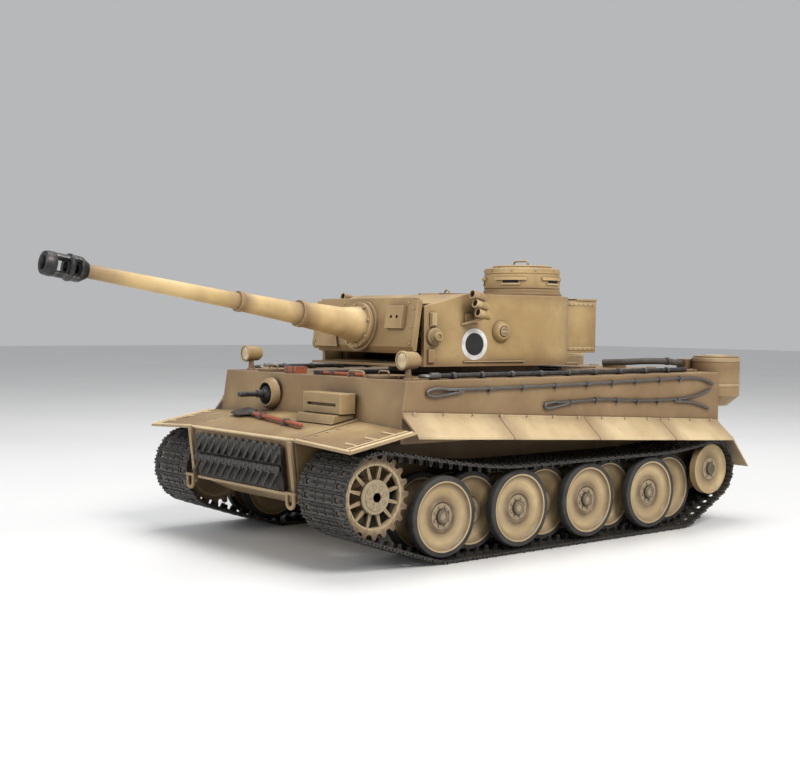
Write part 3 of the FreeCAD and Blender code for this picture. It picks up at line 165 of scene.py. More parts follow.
def add_box(bm, low, high, matrix=None):
    """Box between two corners, in metres, optionally moved by a matrix."""
    low, high = Vector(low), Vector(high)
    corners = [bm.verts.new((x, y, z))
               for x in (low.x, high.x) for y in (low.y, high.y) for z in (low.z, high.z)]
    for quad in ((0, 1, 3, 2), (4, 6, 7, 5), (0, 4, 5, 1), (2, 3, 7, 6), (0, 2, 6, 4), (1, 5, 7, 3)):
        bm.faces.new([corners[index] for index in quad])
    if matrix is not None:
        bmesh.ops.transform(bm, matrix=matrix, verts=corners)
    return corners


def add_prism(bm, outline, axis, start, end, matrix=None):
    """Prism of a closed outline of (u, v) pairs, between two stations along an axis."""
    rings = []
    for station in (start, end):
        ring = []
        for u, v in outline:
            point = {"x": (station, u, v), "y": (u, station, v), "z": (u, v, station)}[axis]
            ring.append(bm.verts.new(point))
        rings.append(ring)
    count = len(outline)
    faces = [bm.faces.new([rings[0][i], rings[0][(i + 1) % count], rings[1][(i + 1) % count], rings[1][i]])
             for i in range(count)]
    faces += [bm.faces.new(rings[0][::-1]), bm.faces.new(rings[1])]
    bmesh.ops.recalc_face_normals(bm, faces=faces)
    if matrix is not None:
        bmesh.ops.transform(bm, matrix=matrix, verts=rings[0] + rings[1])
    return rings[0] + rings[1]


def add_lathe(bm, profile, matrix=None, sides=64, closed=False):
    """Turn a profile of (station along X, radius) pairs about X; radius 0 closes to a point."""
    rings = []
    made = []
    for x, radius in profile:
        if radius < 1e-9:
            ring = [bm.verts.new((x, 0, 0))]
        else:
            ring = [bm.verts.new((x, radius * math.cos(2 * math.pi * k / sides),
                                  radius * math.sin(2 * math.pi * k / sides))) for k in range(sides)]
        rings.append(ring)
        made += ring
    pairs = list(zip(rings, rings[1:])) + ([(rings[-1], rings[0])] if closed else [])
    faces = []
    for a, b in pairs:
        for k in range(sides):
            following = (k + 1) % sides
            if len(a) == 1 and len(b) == 1:
                continue
            if len(a) == 1:
                faces.append(bm.faces.new([a[0], b[k], b[following]]))
            elif len(b) == 1:
                faces.append(bm.faces.new([a[k], b[0], a[following]]))
            else:
                faces.append(bm.faces.new([a[k], b[k], b[following], a[following]]))
    bmesh.ops.recalc_face_normals(bm, faces=faces)
    if matrix is not None:
        bmesh.ops.transform(bm, matrix=matrix, verts=made)
    return made


def turn_mm(bm, profile, matrix=None, sides=64, closed=False):
    """Turn a profile whose stations and radii are in millimetres."""
    return add_lathe(bm, [(x * MM, r * MM) for x, r in profile], matrix, sides, closed)


def pointing(start, heading):
    """Matrix that carries +X onto a heading, starting at a point."""
    turn = Vector(heading).normalized().to_track_quat("X", "Z").to_matrix().to_4x4()
    return Matrix.Translation(Vector(start)) @ turn


def add_rod(bm, start, end, radius, sides=20, radius_end=None, chamfer=0.0):
    """Round bar between two points, with lightly chamfered ends."""
    start, end = Vector(start), Vector(end)
    length = (end - start).length
    last = radius if radius_end is None else radius_end
    c = chamfer or min(radius, last) * 0.15
    profile = [(0, 0), (0, radius - c), (c, radius), (length - c, last), (length, last - c), (length, 0)]
    return add_lathe(bm, profile, pointing(start, end - start), sides)


def piece(name, build, material, node, bevel=0.0):
    """Make a piece from a function that fills a bmesh."""
    bm = bmesh.new()
    build(bm)
    item = to_object(name, bm, material)
    if bevel:
        bevelled(item, bevel)
    settle(item, node)


def line_object(name, points, bevel=0.0, steps=12):
    """Mesh of a smooth NURBS line through control points, as a tube where a bevel is given."""
    curve = bpy.data.curves.new(name, "CURVE")
    curve.dimensions = "3D"
    spline = curve.splines.new("NURBS")
    spline.points.add(len(points) - 1)
    for knot, point in zip(spline.points, points):
        knot.co = (*point, 1.0)
    spline.order_u = 3
    spline.use_endpoint_u = True
    curve.resolution_u = steps
    curve.bevel_depth = bevel
    curve.bevel_resolution = 3
    curve.use_fill_caps = True
    holder = link_object(name + "_line", curve)
    bpy.context.view_layer.update()
    mesh = bpy.data.meshes.new_from_object(holder.evaluated_get(bpy.context.evaluated_depsgraph_get()))
    bpy.data.objects.remove(holder)
    mesh.name = name
    return mesh


def tube_curve(name, points, radius, material):
    """Round tube on a smooth line."""
    mesh = line_object(name, points, radius, steps=10)
    for polygon in mesh.polygons:
        polygon.use_smooth = True
    mesh.materials.clear()
    mesh.materials.append(material)
    return link_object(name, mesh)


def smooth_line(points):
    """Points along a smooth line through control points."""
    return [vertex.co.copy() for vertex in line_object("guide", points).vertices]


def spaced(line, step):
    """Evenly spaced points along a line of points."""
    result = [line[0]]
    carry = 0.0
    for a, b in zip(line, line[1:]):
        length = (b - a).length
        position = step - carry
        while position <= length:
            result.append(a.lerp(b, position / length))
            position += step
        carry = length - (position - step)
    return result


# ------------------------------------------------- repeated pieces by nodes

def repeat_tree():
    """Node tree that puts an item on every point, turned by the point's own attribute."""
    tree = bpy.data.node_groups.new("repeat_item", "GeometryNodeTree")
    face = tree.interface
    face.new_socket("Geometry", in_out="INPUT", socket_type="NodeSocketGeometry")
    item_in = face.new_socket("Item", in_out="INPUT", socket_type="NodeSocketObject")
    size_in = face.new_socket("Size", in_out="INPUT", socket_type="NodeSocketFloat")
    paint_in = face.new_socket("Finish", in_out="INPUT", socket_type="NodeSocketMaterial")
    size_in.default_value = 1.0
    face.new_socket("Geometry", in_out="OUTPUT", socket_type="NodeSocketGeometry")
    make = tree.nodes.new
    start, end = make("NodeGroupInput"), make("NodeGroupOutput")
    info = make("GeometryNodeObjectInfo")
    turn = make("GeometryNodeInputNamedAttribute")
    turn.data_type = "FLOAT_VECTOR"
    turn.inputs["Name"].default_value = "turn"
    instance = make("GeometryNodeInstanceOnPoints")
    realize = make("GeometryNodeRealizeInstances")
    paint = make("GeometryNodeSetMaterial")
    link = tree.links.new
    link(start.outputs["Geometry"], instance.inputs["Points"])
    link(start.outputs["Item"], info.inputs["Object"])
    link(info.outputs["Geometry"], instance.inputs["Instance"])
    link(turn.outputs["Attribute"], instance.inputs["Rotation"])
    link(start.outputs["Size"], instance.inputs["Scale"])
    link(instance.outputs["Instances"], realize.inputs["Geometry"])
    link(realize.outputs["Geometry"], paint.inputs["Geometry"])
    link(start.outputs["Finish"], paint.inputs["Material"])
    link(paint.outputs["Geometry"], end.inputs["Geometry"])
    return tree, item_in.identifier, size_in.identifier, paint_in.identifier


REPEAT, ITEM_SOCKET, SIZE_SOCKET, FINISH_SOCKET = repeat_tree()


def repeated(name, item, places, material, size=1.0):
    """Copies of an item at places of (point, Euler turn), as one plain mesh."""
    mesh = bpy.data.meshes.new(name)
    mesh.from_pydata([tuple(point) for point, _ in places], [], [])
    turns = mesh.attributes.new("turn", "FLOAT_VECTOR", "POINT")
    for entry, (_, turn) in zip(turns.data, places):
        entry.vector = tuple(turn)
    holder = link_object(name, mesh)
    modifier = holder.modifiers.new("repeat", "NODES")
    modifier.node_group = REPEAT
    modifier[ITEM_SOCKET] = item
    modifier[SIZE_SOCKET] = size
    modifier[FINISH_SOCKET] = material
    baked(holder)
    bpy.data.objects.remove(item)
    return holder


def facing(heading):
    """Euler turn that carries +X onto a heading."""
    return Vector(heading).normalized().to_track_quat("X", "Z").to_matrix().to_euler()


def ring_places(station, radius, count, first=0.0, matrix=None):
    """Places facing along X, evenly round a circle about X, optionally carried by a matrix."""
    places = []
    for index in range(count):
        angle = first + 2 * math.pi * index / count
        point = mm(station, radius * math.cos(angle), radius * math.sin(angle))
        turn = Matrix.Rotation(angle, 4, "X")
        if matrix is not None:
            point, turn = matrix @ point, matrix.to_3x3().to_4x4() @ turn
        places.append((point, turn.to_euler()))
    return places


def bolt_item(radius=1.0 * MM, height=0.7 * MM, sides=6):
    """Hexagon bolt head with a chamfered top, standing along +X."""
    bm = bmesh.new()
    profile = [(0, 0), (0, radius), (height * 0.75, radius), (height, radius * 0.72), (height, 0)]
    add_lathe(bm, profile, sides=sides)
    return to_object("bolt_item", bm, None, 20)


def rivet_item(radius=0.6 * MM):
    bm = bmesh.new()
    profile = [(0, 0), (0, radius), (radius * 0.4, radius * 0.85), (radius * 0.62, radius * 0.4),
               (radius * 0.68, 0)]
    add_lathe(bm, profile, sides=8)
    return to_object("rivet_item", bm, None, 60)


# ---------------------------------------------------------------- materials

class Finish:
    """A material under construction, with short ways to add nodes."""

    def __init__(self, name):
        self.material = bpy.data.materials.new(name)
        self.material.use_nodes = True
        self.tree = self.material.node_tree
        self.shader = self.tree.nodes["Principled BSDF"]
        self.place = self.add("ShaderNodeTexCoord").outputs["Object"]

    def add(self, kind, **settings):
        node = self.tree.nodes.new(kind)
        for key, value in settings.items():
            setattr(node, key, value)
        return node

    def link(self, source, target):
        self.tree.links.new(source, target)

    def noise(self, scale, detail=3.0, roughness=0.5, stretch=None):
        node = self.add("ShaderNodeTexNoise")
        node.inputs["Scale"].default_value = scale
        node.inputs["Detail"].default_value = detail
        node.inputs["Roughness"].default_value = roughness
        source = self.place
        if stretch is not None:
            mapping = self.add("ShaderNodeMapping")
            mapping.inputs["Scale"].default_value = stretch
            self.link(source, mapping.inputs["Vector"])
            source = mapping.outputs["Vector"]
        self.link(source, node.inputs["Vector"])
        return node.outputs["Fac"]

    def ramp(self, source, stops):
        """Colour or value ramp; each stop is (position, value or colour)."""
        node = self.add("ShaderNodeValToRGB")
        elements = node.color_ramp.elements
        while len(elements) < len(stops):
            elements.new(0.5)
        for element, (position, value) in zip(elements, stops):
            element.position = position
            colour = (value, value, value) if isinstance(value, (int, float)) else value
            element.color = (*colour[:3], 1.0)
        self.link(source, node.inputs["Fac"])
        return node.outputs["Color"]

    def mix(self, factor, a, b):
        node = self.add("ShaderNodeMix", data_type="RGBA")
        for socket, value in ((node.inputs["Factor"], factor), (node.inputs["A"], a), (node.inputs["B"], b)):
            self.feed(socket, value)
        return node.outputs["Result"]

    def feed(self, socket, value):
        if isinstance(value, bpy.types.NodeSocket):
            self.link(value, socket)
        elif isinstance(value, (tuple, list)):
            if socket.type == "RGBA":
                socket.default_value = (*value[:3], 1.0)
            else:
                socket.default_value = value
        elif socket.type == "RGBA":
            socket.default_value = (value, value, value, 1.0)
        else:
            socket.default_value = value

    def sum(self, operation, a, b=0.0, clamp=False):
        node = self.add("ShaderNodeMath", operation=operation, use_clamp=clamp)
        self.feed(node.inputs[0], a)
        self.feed(node.inputs[1], b)
        return node.outputs["Value"]

    def attribute(self, name):
        return self.add("ShaderNodeAttribute", attribute_name=name).outputs["Fac"]

    def recess(self, distance, inside=False):
        node = self.add("ShaderNodeAmbientOcclusion", inside=inside, samples=6)
        node.inputs["Distance"].default_value = distance
        return node.outputs["AO"]

    def finish(self, colour, roughness, bump=None, strength=0.2, depth=0.0002):
        self.feed(self.shader.inputs["Base Color"], colour)
        self.feed(self.shader.inputs["Roughness"], roughness)
        if bump is not None:
            node = self.add("ShaderNodeBump")
            node.inputs["Strength"].default_value = strength
            node.inputs["Distance"].default_value = depth
            self.link(bump, node.inputs["Height"])
            self.link(node.outputs["Normal"], self.shader.inputs["Normal"])
        return self.material


SAND = (0.335, 0.222, 0.088)
SAND_LIGHT = (0.52, 0.375, 0.178)
SHADE_BROWN = (0.070, 0.040, 0.024)
SHADE_WARM = (0.150, 0.082, 0.042)
DUST = (0.30, 0.225, 0.13)
# Pale sand for the painted highlight on convex edges.
EDGE_HIGHLIGHT = (0.70, 0.56, 0.34)
SHADE_DEEP = (0.085, 0.050, 0.028)


def sand_paint(name, base=SAND, light=SAND_LIGHT, shading=1.0, recess=0.012, mist=(), low_dust=True):
    """Matt dark-yellow paint with painted shade in recesses, a painted highlight on convex edges, darkening read
    from a per-vertex attribute, and brown misted bands (axis, centre, half width, strength).
    """
    f = Finish(name)
    cloud = f.ramp(f.noise(22, 3, 0.5), [(0.35, 0.0), (0.68, 1.0)])
    colour = f.mix(cloud, base, light)
    mottle = f.ramp(f.noise(75, 4, 0.6), [(0.46, 0.0), (0.78, 1.0)])
    colour = f.mix(f.sum("MULTIPLY", mottle, 0.30 * shading), colour, SHADE_WARM)
    # Painted highlight: convex edges, found by inside ambient occlusion, are mixed towards pale sand.
    edge = f.ramp(f.recess(0.0012, inside=True), [(0.55, 1.0), (0.90, 0.0)])
    colour = f.mix(f.sum("MULTIPLY", edge, 0.35), colour, EDGE_HIGHLIGHT)
    # Painted shade: ambient occlusion darkens recesses towards brown.
    recess_shade = f.ramp(f.recess(recess), [(0.34, 1.0), (0.66, 0.45), (0.97, 0.0)])
    recess_shade = f.sum("MULTIPLY", recess_shade, 0.9 * shading, clamp=True)
    colour = f.mix(recess_shade, colour, SHADE_BROWN)
    # Darkening per vertex: painted shade in the wheel and idler dishes; a dark hub face and dark worn tooth tips
    # on the sprockets.
    painted = f.sum("MULTIPLY", f.attribute("shade"), 0.92 * shading, clamp=True)
    colour = f.mix(painted, colour, SHADE_DEEP)
    if mist:
        axes = f.add("ShaderNodeSeparateXYZ")
        f.link(f.place, axes.inputs["Vector"])
        wobble = f.sum("MULTIPLY", f.sum("SUBTRACT", f.noise(55, 3), 0.5), 0.012)
        total = None
        for axis, centre, half, strength in mist:
            away = f.sum("ABSOLUTE", f.sum("SUBTRACT", f.sum("ADD", axes.outputs[axis], wobble), centre))
            near = f.sum("SUBTRACT", 1.0, f.sum("DIVIDE", away, half), clamp=True)
            near = f.sum("MULTIPLY", near, strength)
            total = near if total is None else f.sum("MAXIMUM", total, near)
        colour = f.mix(total, colour, SHADE_WARM)
    if low_dust:
        height = f.add("ShaderNodeSeparateXYZ")
        f.link(f.place, height.inputs["Vector"])
        low_band = f.add("ShaderNodeMapRange")
        low_band.inputs["From Min"].default_value = 0.07
        low_band.inputs["From Max"].default_value = 0.02
        f.link(height.outputs["Z"], low_band.inputs["Value"])
        splash = f.sum("MULTIPLY", low_band.outputs["Result"],
                       f.ramp(f.noise(130, 4), [(0.35, 0.1), (0.7, 0.75)]))
        colour = f.mix(splash, colour, DUST)
    grain = f.noise(1500, 3, 0.6)
    roughness = f.ramp(f.noise(70, 3), [(0.3, 0.46), (0.75, 0.62)])
    return f.finish(colour, roughness, grain, 0.12, 0.00008)


def dark_metal(name, base=(0.030, 0.029, 0.030), worn=(0.17, 0.16, 0.15), metallic=0.75, roughness=0.42,
               dusty=0.0):
    """Blackened metal with brighter rubbed edges and a little dust."""
    f = Finish(name)
    rub = f.ramp(f.recess(0.0016, inside=True), [(0.35, 1.0), (0.75, 0.0)])
    patch = f.ramp(f.noise(240, 4, 0.6), [(0.4, 0.0), (0.75, 1.0)])
    colour = f.mix(f.sum("MULTIPLY", patch, 0.35), base, worn)
    colour = f.mix(f.sum("MULTIPLY", rub, 0.75), colour, worn)
    if dusty:
        settle_dust = f.ramp(f.noise(60, 4, 0.65), [(0.38, 0.0), (0.7, 1.0)])
        colour = f.mix(f.sum("MULTIPLY", settle_dust, dusty), colour, DUST)
    f.shader.inputs["Metallic"].default_value = metallic
    rough = f.ramp(f.noise(180, 3), [(0.3, roughness - 0.08), (0.7, roughness + 0.14)])
    return f.finish(colour, rough, f.noise(900, 3), 0.22, 0.0001)


def rubber(name, base=(0.050, 0.051, 0.050), dust=(0.24, 0.21, 0.16)):
    """Grey-black rubber with pale dust rubbed into it."""
    f = Finish(name)
    dusty = f.ramp(f.noise(110, 4, 0.6), [(0.35, 0.05), (0.75, 0.5)])
    colour = f.mix(dusty, base, dust)
    return f.finish(colour, f.ramp(f.noise(60), [(0.3, 0.62), (0.7, 0.82)]), f.noise(700, 3), 0.2, 0.0001)


def painted_wood(name, base=(0.42, 0.105, 0.045), dark=(0.12, 0.035, 0.02)):
    """Stained wooden handle with long grain."""
    f = Finish(name)
    grain = f.noise(700, 5, 0.7, stretch=(0.06, 1.0, 1.0))
    colour = f.mix(f.ramp(grain, [(0.35, 0.0), (0.7, 0.8)]), base, dark)
    return f.finish(colour, f.ramp(grain, [(0.3, 0.38), (0.7, 0.55)]), grain, 0.25, 0.0001)


def plain_plastic(name, base, rough=0.4, metallic=0.0):
    """Moulded or lacquered surface with slight clouding."""
    f = Finish(name)
    cloud = f.ramp(f.noise(140, 3), [(0.3, 0.0), (0.75, 1.0)])
    dark = tuple(channel * 0.6 for channel in base)
    f.shader.inputs["Metallic"].default_value = metallic
    return f.finish(f.mix(cloud, base, dark), f.ramp(f.noise(90), [(0.3, rough - 0.06), (0.7, rough + 0.1)]),
                    f.noise(800), 0.1, 0.00006)


def lamp_glass(name):
    """Ribbed warm-tinted lens."""
    f = Finish(name)
    ribs = f.add("ShaderNodeTexWave", bands_direction="X")
    ribs.inputs["Scale"].default_value = 260
    f.link(f.place, ribs.inputs["Vector"])
    colour = f.mix(f.ramp(ribs.outputs["Fac"], [(0.2, 0.0), (0.8, 1.0)]), (0.75, 0.62, 0.40),
                   (0.45, 0.34, 0.18))
    f.shader.inputs["Coat Weight"].default_value = 0.6
    f.shader.inputs["Metallic"].default_value = 0.3
    return f.finish(colour, f.ramp(f.noise(90), [(0.3, 0.12), (0.7, 0.22)]), ribs.outputs["Fac"], 0.5,
                    0.0003)


SKIRT_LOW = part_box("side_skirts")[0].y
SKIRT_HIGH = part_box("side_skirts")[1].y
SKIRT_JOINTS = [SKIRT_LOW + share * (SKIRT_HIGH - SKIRT_LOW) for share in (0.0, 0.258, 0.519, 0.779, 1.0)]

# Where the brown is misted on: roof and deck edges, plate joints, wall feet, barrel steps.
HULL_MIST = [("Z", 0.112, 0.011, 0.60), ("Z", 0.074, 0.008, 0.55), ("X", 0.101, 0.013, 0.55),
             ("X", -0.101, 0.013, 0.6), ("X", 0.0, 0.008, 0.22), ("Y", -0.0795, 0.008, 0.45),
             ("Y", 0.219, 0.014, 0.7), ("Y", 0.052, 0.007, 0.35), ("Y", -0.012, 0.006, 0.32),
             ("Y", 0.125, 0.007, 0.35), ("Y", -0.132, 0.010, 0.35)]
TURRET_MIST = [("Z", 0.166, 0.010, 0.55), ("Z", 0.1165, 0.010, 0.6), ("Y", -0.029, 0.012, 0.5),
               ("Y", -0.037, 0.010, 0.4), ("Y", 0.112, 0.016, 0.5), ("Y", 0.152, 0.012, 0.45),
               ("X", 0.055, 0.006, 0.3), ("Z", 0.1845, 0.004, 0.3)]
GUN_MIST = [("Y", -0.0345, 0.012, 0.7), ("Y", -0.0565, 0.007, 0.25), ("Y", -0.0865, 0.012, 0.75),
            ("Y", -0.1325, 0.011, 0.75), ("Y", -0.236, 0.030, 0.9)]

HULL_PAINT = sand_paint("sand_hull", base=(0.262, 0.174, 0.074), light=(0.39, 0.278, 0.132), mist=HULL_MIST)
TURRET_PAINT = sand_paint("sand_turret", light=(0.48, 0.34, 0.155), mist=TURRET_MIST)
# Painted light: the skirts get a paler copy of the sand paint, standing in for light on their side faces; the
# misted bands mark the panel joints.
SKIRT_LIT_PAINT = sand_paint("sand_skirt", base=(0.46, 0.34, 0.185), light=(0.62, 0.49, 0.29), shading=0.9,
                         mist=[("Y", y, 0.017, 0.5) for y in SKIRT_JOINTS], low_dust=False)
WHEEL_PAINT = sand_paint("sand_wheel", base=(0.36, 0.25, 0.115), light=(0.56, 0.42, 0.22), shading=1.0,
                         recess=0.006)
GUN_PAINT = sand_paint("sand_gun", base=(0.44, 0.30, 0.125), light=(0.62, 0.45, 0.215), mist=GUN_MIST,
                       low_dust=False)
SPROCKET_PAINT = sand_paint("sand_sprocket", base=(0.115, 0.075, 0.040), light=(0.25, 0.175, 0.095),
                            recess=0.006, low_dust=False)
DARK_HUB = sand_paint("hub_dark", base=(0.050, 0.038, 0.024), light=(0.10, 0.077, 0.047), recess=0.004,
                      low_dust=False)
WORN_PAINT = sand_paint("sand_worn", base=(0.17, 0.125, 0.07), light=(0.33, 0.24, 0.14), recess=0.003)
EDGE_PAINT = sand_paint("sand_edge", base=(0.46, 0.335, 0.175), light=(0.68, 0.54, 0.32), shading=0.6,
                        recess=0.003)
GUNMETAL = dark_metal("gunmetal")
TRACK_METAL = dark_metal("track_iron", base=(0.011, 0.0108, 0.0105), worn=(0.095, 0.091, 0.086),
                         roughness=0.5, dusty=0.08)
ROPE_STEEL = dark_metal("rope_steel", base=(0.045, 0.044, 0.045), worn=(0.22, 0.21, 0.20), roughness=0.45)
TYRE_RUBBER = rubber("tyre_rubber", base=(0.020, 0.020, 0.020), dust=(0.085, 0.076, 0.060))
HOSE_RUBBER = rubber("hose_rubber", base=(0.035, 0.034, 0.032), dust=(0.16, 0.13, 0.10))
HANDLE_WOOD = painted_wood("handle_wood")
LENS = lamp_glass("lamp_lens")
BLACK_PLASTIC = plain_plastic("black_plastic", (0.030, 0.030, 0.032), 0.45)
BATTERY_WRAP = plain_plastic("battery_wrap", (0.04, 0.10, 0.32), 0.25)
BOARD_GREEN = plain_plastic("board_green", (0.02, 0.16, 0.07), 0.35)
# Black standing in for the shade inside openings: vision slits, discharger tubes and the hull gun's socket.
HOLE_SHADE_BLACK = plain_plastic("hole_black", (0.008, 0.008, 0.008), 0.8)
DECAL_WHITE = plain_plastic("decal_white", (0.78, 0.77, 0.73), 0.5)
DECAL_BLACK = plain_plastic("decal_black", (0.014, 0.014, 0.015), 0.5)


# ------------------------------------------------------------ stage, camera

def stage():
    bm = bmesh.new()
    add_box(bm, (-6, -6, -0.02), (6, 6, 0.0))
    f = Finish("pale_floor")
    f.shader.inputs["Specular IOR Level"].default_value = 0.35
    f.finish(f.mix(f.ramp(f.noise(3), [(0.3, 0.0), (0.7, 1.0)]), (0.76, 0.76, 0.75), (0.72, 0.72, 0.715)),
             0.42)
    floor = to_object("floor", bm, f.material)
    world = bpy.data.worlds.new("studio")
    world.use_nodes = True
    world.node_tree.nodes["Background"].inputs["Color"].default_value = (0.86, 0.87, 0.89, 1)
    world.node_tree.nodes["Background"].inputs["Strength"].default_value = 0.55
    bpy.context.scene.world = world

    def area(name, place, target, size, power, colour=(1, 1, 1)):
        light = bpy.data.lights.new(name, "AREA")
        light.shape, light.size, light.energy, light.color = "DISK", size, power, colour
        holder = link_object(name, light)
        holder.location = place
        holder.rotation_euler = (Vector(target) - Vector(place)).to_track_quat("-Z", "Y").to_euler()

    area("key", (1.15, -0.05, 1.15), (0, 0, 0.08), 0.7, 21, (1.0, 0.975, 0.94))
    area("front_fill", (-0.35, -1.5, 0.75), (0, 0, 0.08), 1.0, 11, (0.95, 0.97, 1.0))
    area("top", (-0.2, 0.35, 1.5), (0, 0, 0.1), 0.9, 13)
    bpy.context.scene.view_settings.view_transform = "Standard"


def camera():
    """Camera a little above the roof line, off the tank's front left corner."""
    azimuth, elevation, roll = math.radians(50.94), math.radians(3.12), math.radians(0.53)
    back = Vector((math.sin(azimuth) * math.cos(elevation), -math.cos(azimuth) * math.cos(elevation),
                   math.sin(elevation)))
    right = Vector((math.cos(azimuth), math.sin(azimuth), 0.0))
    up = back.cross(right)
    across = right * math.cos(roll) + up * math.sin(roll)
    upright = up * math.cos(roll) - right * math.sin(roll)
    lens = bpy.data.cameras.new("camera")
    lens.sensor_width = 36.0
    lens.lens = 55.9
    holder = link_object("camera", lens)
    holder.matrix_world = Matrix.Translation((0.6654, -0.5428, 0.1443)) @ Matrix(
        (across, upright, back)).transposed().to_4x4()
    bpy.context.scene.camera = holder


# ------------------------------------------------------------------- tracks

PIN_RADIUS_WHEEL = 26.9 * MM
PIN_RADIUS_SPROCKET = 26.0 * MM
PIN_RADIUS_IDLER = 20.4 * MM
LINK_COUNT = 96


def arc_points(centre, radius, start, end, step=2.0):
    """Points (y, z) along an arc; angles in degrees from +Y towards +Z."""
    count = max(2, int(abs(end - start) / step))
    angles = [math.radians(start + (end - start) * index / count) for index in range(count + 1)]
    return [(centre.y + radius * math.cos(angle), centre.z + radius * math.sin(angle)) for angle in angles]


def tangent_angle(centre_a, radius_a, centre_b, radius_b):
    """Direction of the shared normal of two circles' outer tangent, on the right of a to b."""
    dy, dz = centre_b.y - centre_a.y, centre_b.z - centre_a.z
    return math.degrees(math.atan2(dz, dy) - math.acos((radius_a - radius_b) / math.hypot(dy, dz)))


def sagging_run(start, start_heading, end, end_heading, steps=40):
    """Smooth run between two points with given headings in degrees."""
    span = math.hypot(end[0] - start[0], end[1] - start[1])
    t0 = [span * math.cos(math.radians(start_heading)), span * math.sin(math.radians(start_heading))]
    t1 = [span * math.cos(math.radians(end_heading)), span * math.sin(math.radians(end_heading))]
    points = []
    for index in range(1, steps):
        s = index / steps
        a, b = 2 * s ** 3 - 3 * s ** 2 + 1, s ** 3 - 2 * s ** 2 + s
        c, d = -2 * s ** 3 + 3 * s ** 2, s ** 3 - s ** 2
        points.append(tuple(a * start[k] + b * t0[k] + c * end[k] + d * t1[k] for k in (0, 1)))
    return points


def track_route(side):
    """Closed line of the track pins, seen from the side, running rearward on top."""
    sprocket, idler = joint_point(f"sprocket_{side}_spin"), joint_point(f"idler_{side}_spin")
    axles = [joint_point(f"wheel_{side}_{index}_spin") for index in range(1, 9)]
    leave, arrive = 82.0, 97.0
    top = axles[0].z + PIN_RADIUS_WHEEL + 0.1 * MM
    start = arc_points(sprocket, PIN_RADIUS_SPROCKET, leave, leave)[0]
    finish = arc_points(idler, PIN_RADIUS_IDLER, arrive, arrive)[0]
    points = [start] + sagging_run(start, leave - 90, (axles[2].y, top), 0)
    points += [(axles[2].y, top), (axles[6].y, top)]
    points += sagging_run((axles[6].y, top), 0, finish, arrive - 90)
    rear = tangent_angle(axles[7], PIN_RADIUS_WHEEL, idler, PIN_RADIUS_IDLER)
    points += arc_points(idler, PIN_RADIUS_IDLER, arrive, rear)
    points += arc_points(axles[7], PIN_RADIUS_WHEEL, rear, -90)
    front = tangent_angle(sprocket, PIN_RADIUS_SPROCKET, axles[0], PIN_RADIUS_WHEEL)
    points += arc_points(axles[0], PIN_RADIUS_WHEEL, -90, front)
    points += arc_points(sprocket, PIN_RADIUS_SPROCKET, front, leave - 360)
    return points


def link_places(side):
    """Where every link sits: its middle on the pin line, and its turn about X."""
    route = track_route(side)
    lengths = [0.0]
    for a, b in zip(route, route[1:]):
        lengths.append(lengths[-1] + math.hypot(b[0] - a[0], b[1] - a[1]))
    pitch = lengths[-1] / LINK_COUNT
    pins = []
    k = 0
    for index in range(LINK_COUNT):
        while lengths[k + 1] < index * pitch:
            k += 1
        share = (index * pitch - lengths[k]) / max(lengths[k + 1] - lengths[k], 1e-12)
        pins.append([route[k][i] + share * (route[k + 1][i] - route[k][i]) for i in (0, 1)])
    places = []
    for (ya, za), (yb, zb) in zip(pins, pins[1:] + pins[:1]):
        turn = math.atan2(za - zb, ya - yb)
        places.append((Vector((0, (ya + yb) / 2, (za + zb) / 2)), (turn, 0.0, 0.0)))
    return places, pitch


def link_item(sign, pitch, low_x, high_x):
    """One track link: cross bars between its pins, hinge lugs, tread ribs and two guide horns."""
    bm = bmesh.new()

    def bar(x0, x1, y0, y1, z0, z1):
        a, b = sorted((sign * x0, sign * x1))
        add_box(bm, mm(a, y0, z0), mm(b, y1, z1))

    low, high = low_x / MM, high_x / MM
    gaps = ((71.5, 75.3), (101.3, 105.1))
    half = pitch / MM / 2
    plates = ((low + 0.4, gaps[0][0]), (gaps[0][1], gaps[1][0]), (gaps[1][1], high - 0.4))
    for x0, x1 in plates:
        bar(x0, x1, -2.9, 2.9, -0.45, 0.95)
    for y0, y1 in ((-3.0, -1.7), (1.7, 3.0)):
        bar(low + 0.4, high - 0.4, y0, y1, -0.5, 0.35)
    for x0, x1 in ((low, 70.6), (76.6, 83.6), (84.6, 91.8), (92.8, 100.0), (106.0, high)):
        bar(x0, x1, -2.5, -1.3, -1.3, -0.3)
        bar(x0 + 0.7, x1 - 0.7, 0.9, 2.1, -1.15, -0.3)
    count, lug = 12, (high - low) / 12
    for index in range(count):
        y = half if index % 2 else -half
        x0 = low + index * lug + 0.15
        ends = sorted((sign * x0, sign * (x0 + lug - 0.3)))
        long = ends[1] - ends[0]
        turn_mm(bm, [(0, 0), (0, 1.12), (long, 1.12), (long, 0)],
                Matrix.Translation(mm(ends[0], y * 0.985, 0)), sides=6)
    for x in (76.5, 98.5):
        outline = [(-1.8 * MM, 0.8 * MM), (1.8 * MM, 0.8 * MM), (0.9 * MM, 4.4 * MM), (-0.9 * MM, 4.4 * MM)]
        a, b = sorted((sign * (x - 0.9), sign * (x + 0.9)))
        add_prism(bm, outline, "x", a * MM, b * MM)
    return to_object("link_item", bm, None, 25)


def tracks():
    for side, sign in SIDES:
        node = f"track_{side}"
        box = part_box(node)
        low, high = (box[0].x, box[1].x) if sign > 0 else (-box[1].x, -box[0].x)
        places, pitch = link_places(side)
        item = repeated(f"track_links_{side}", link_item(sign, pitch, low, high), places, TRACK_METAL)
        settle(item, node)


# ------------------------------------------------------------------- wheels

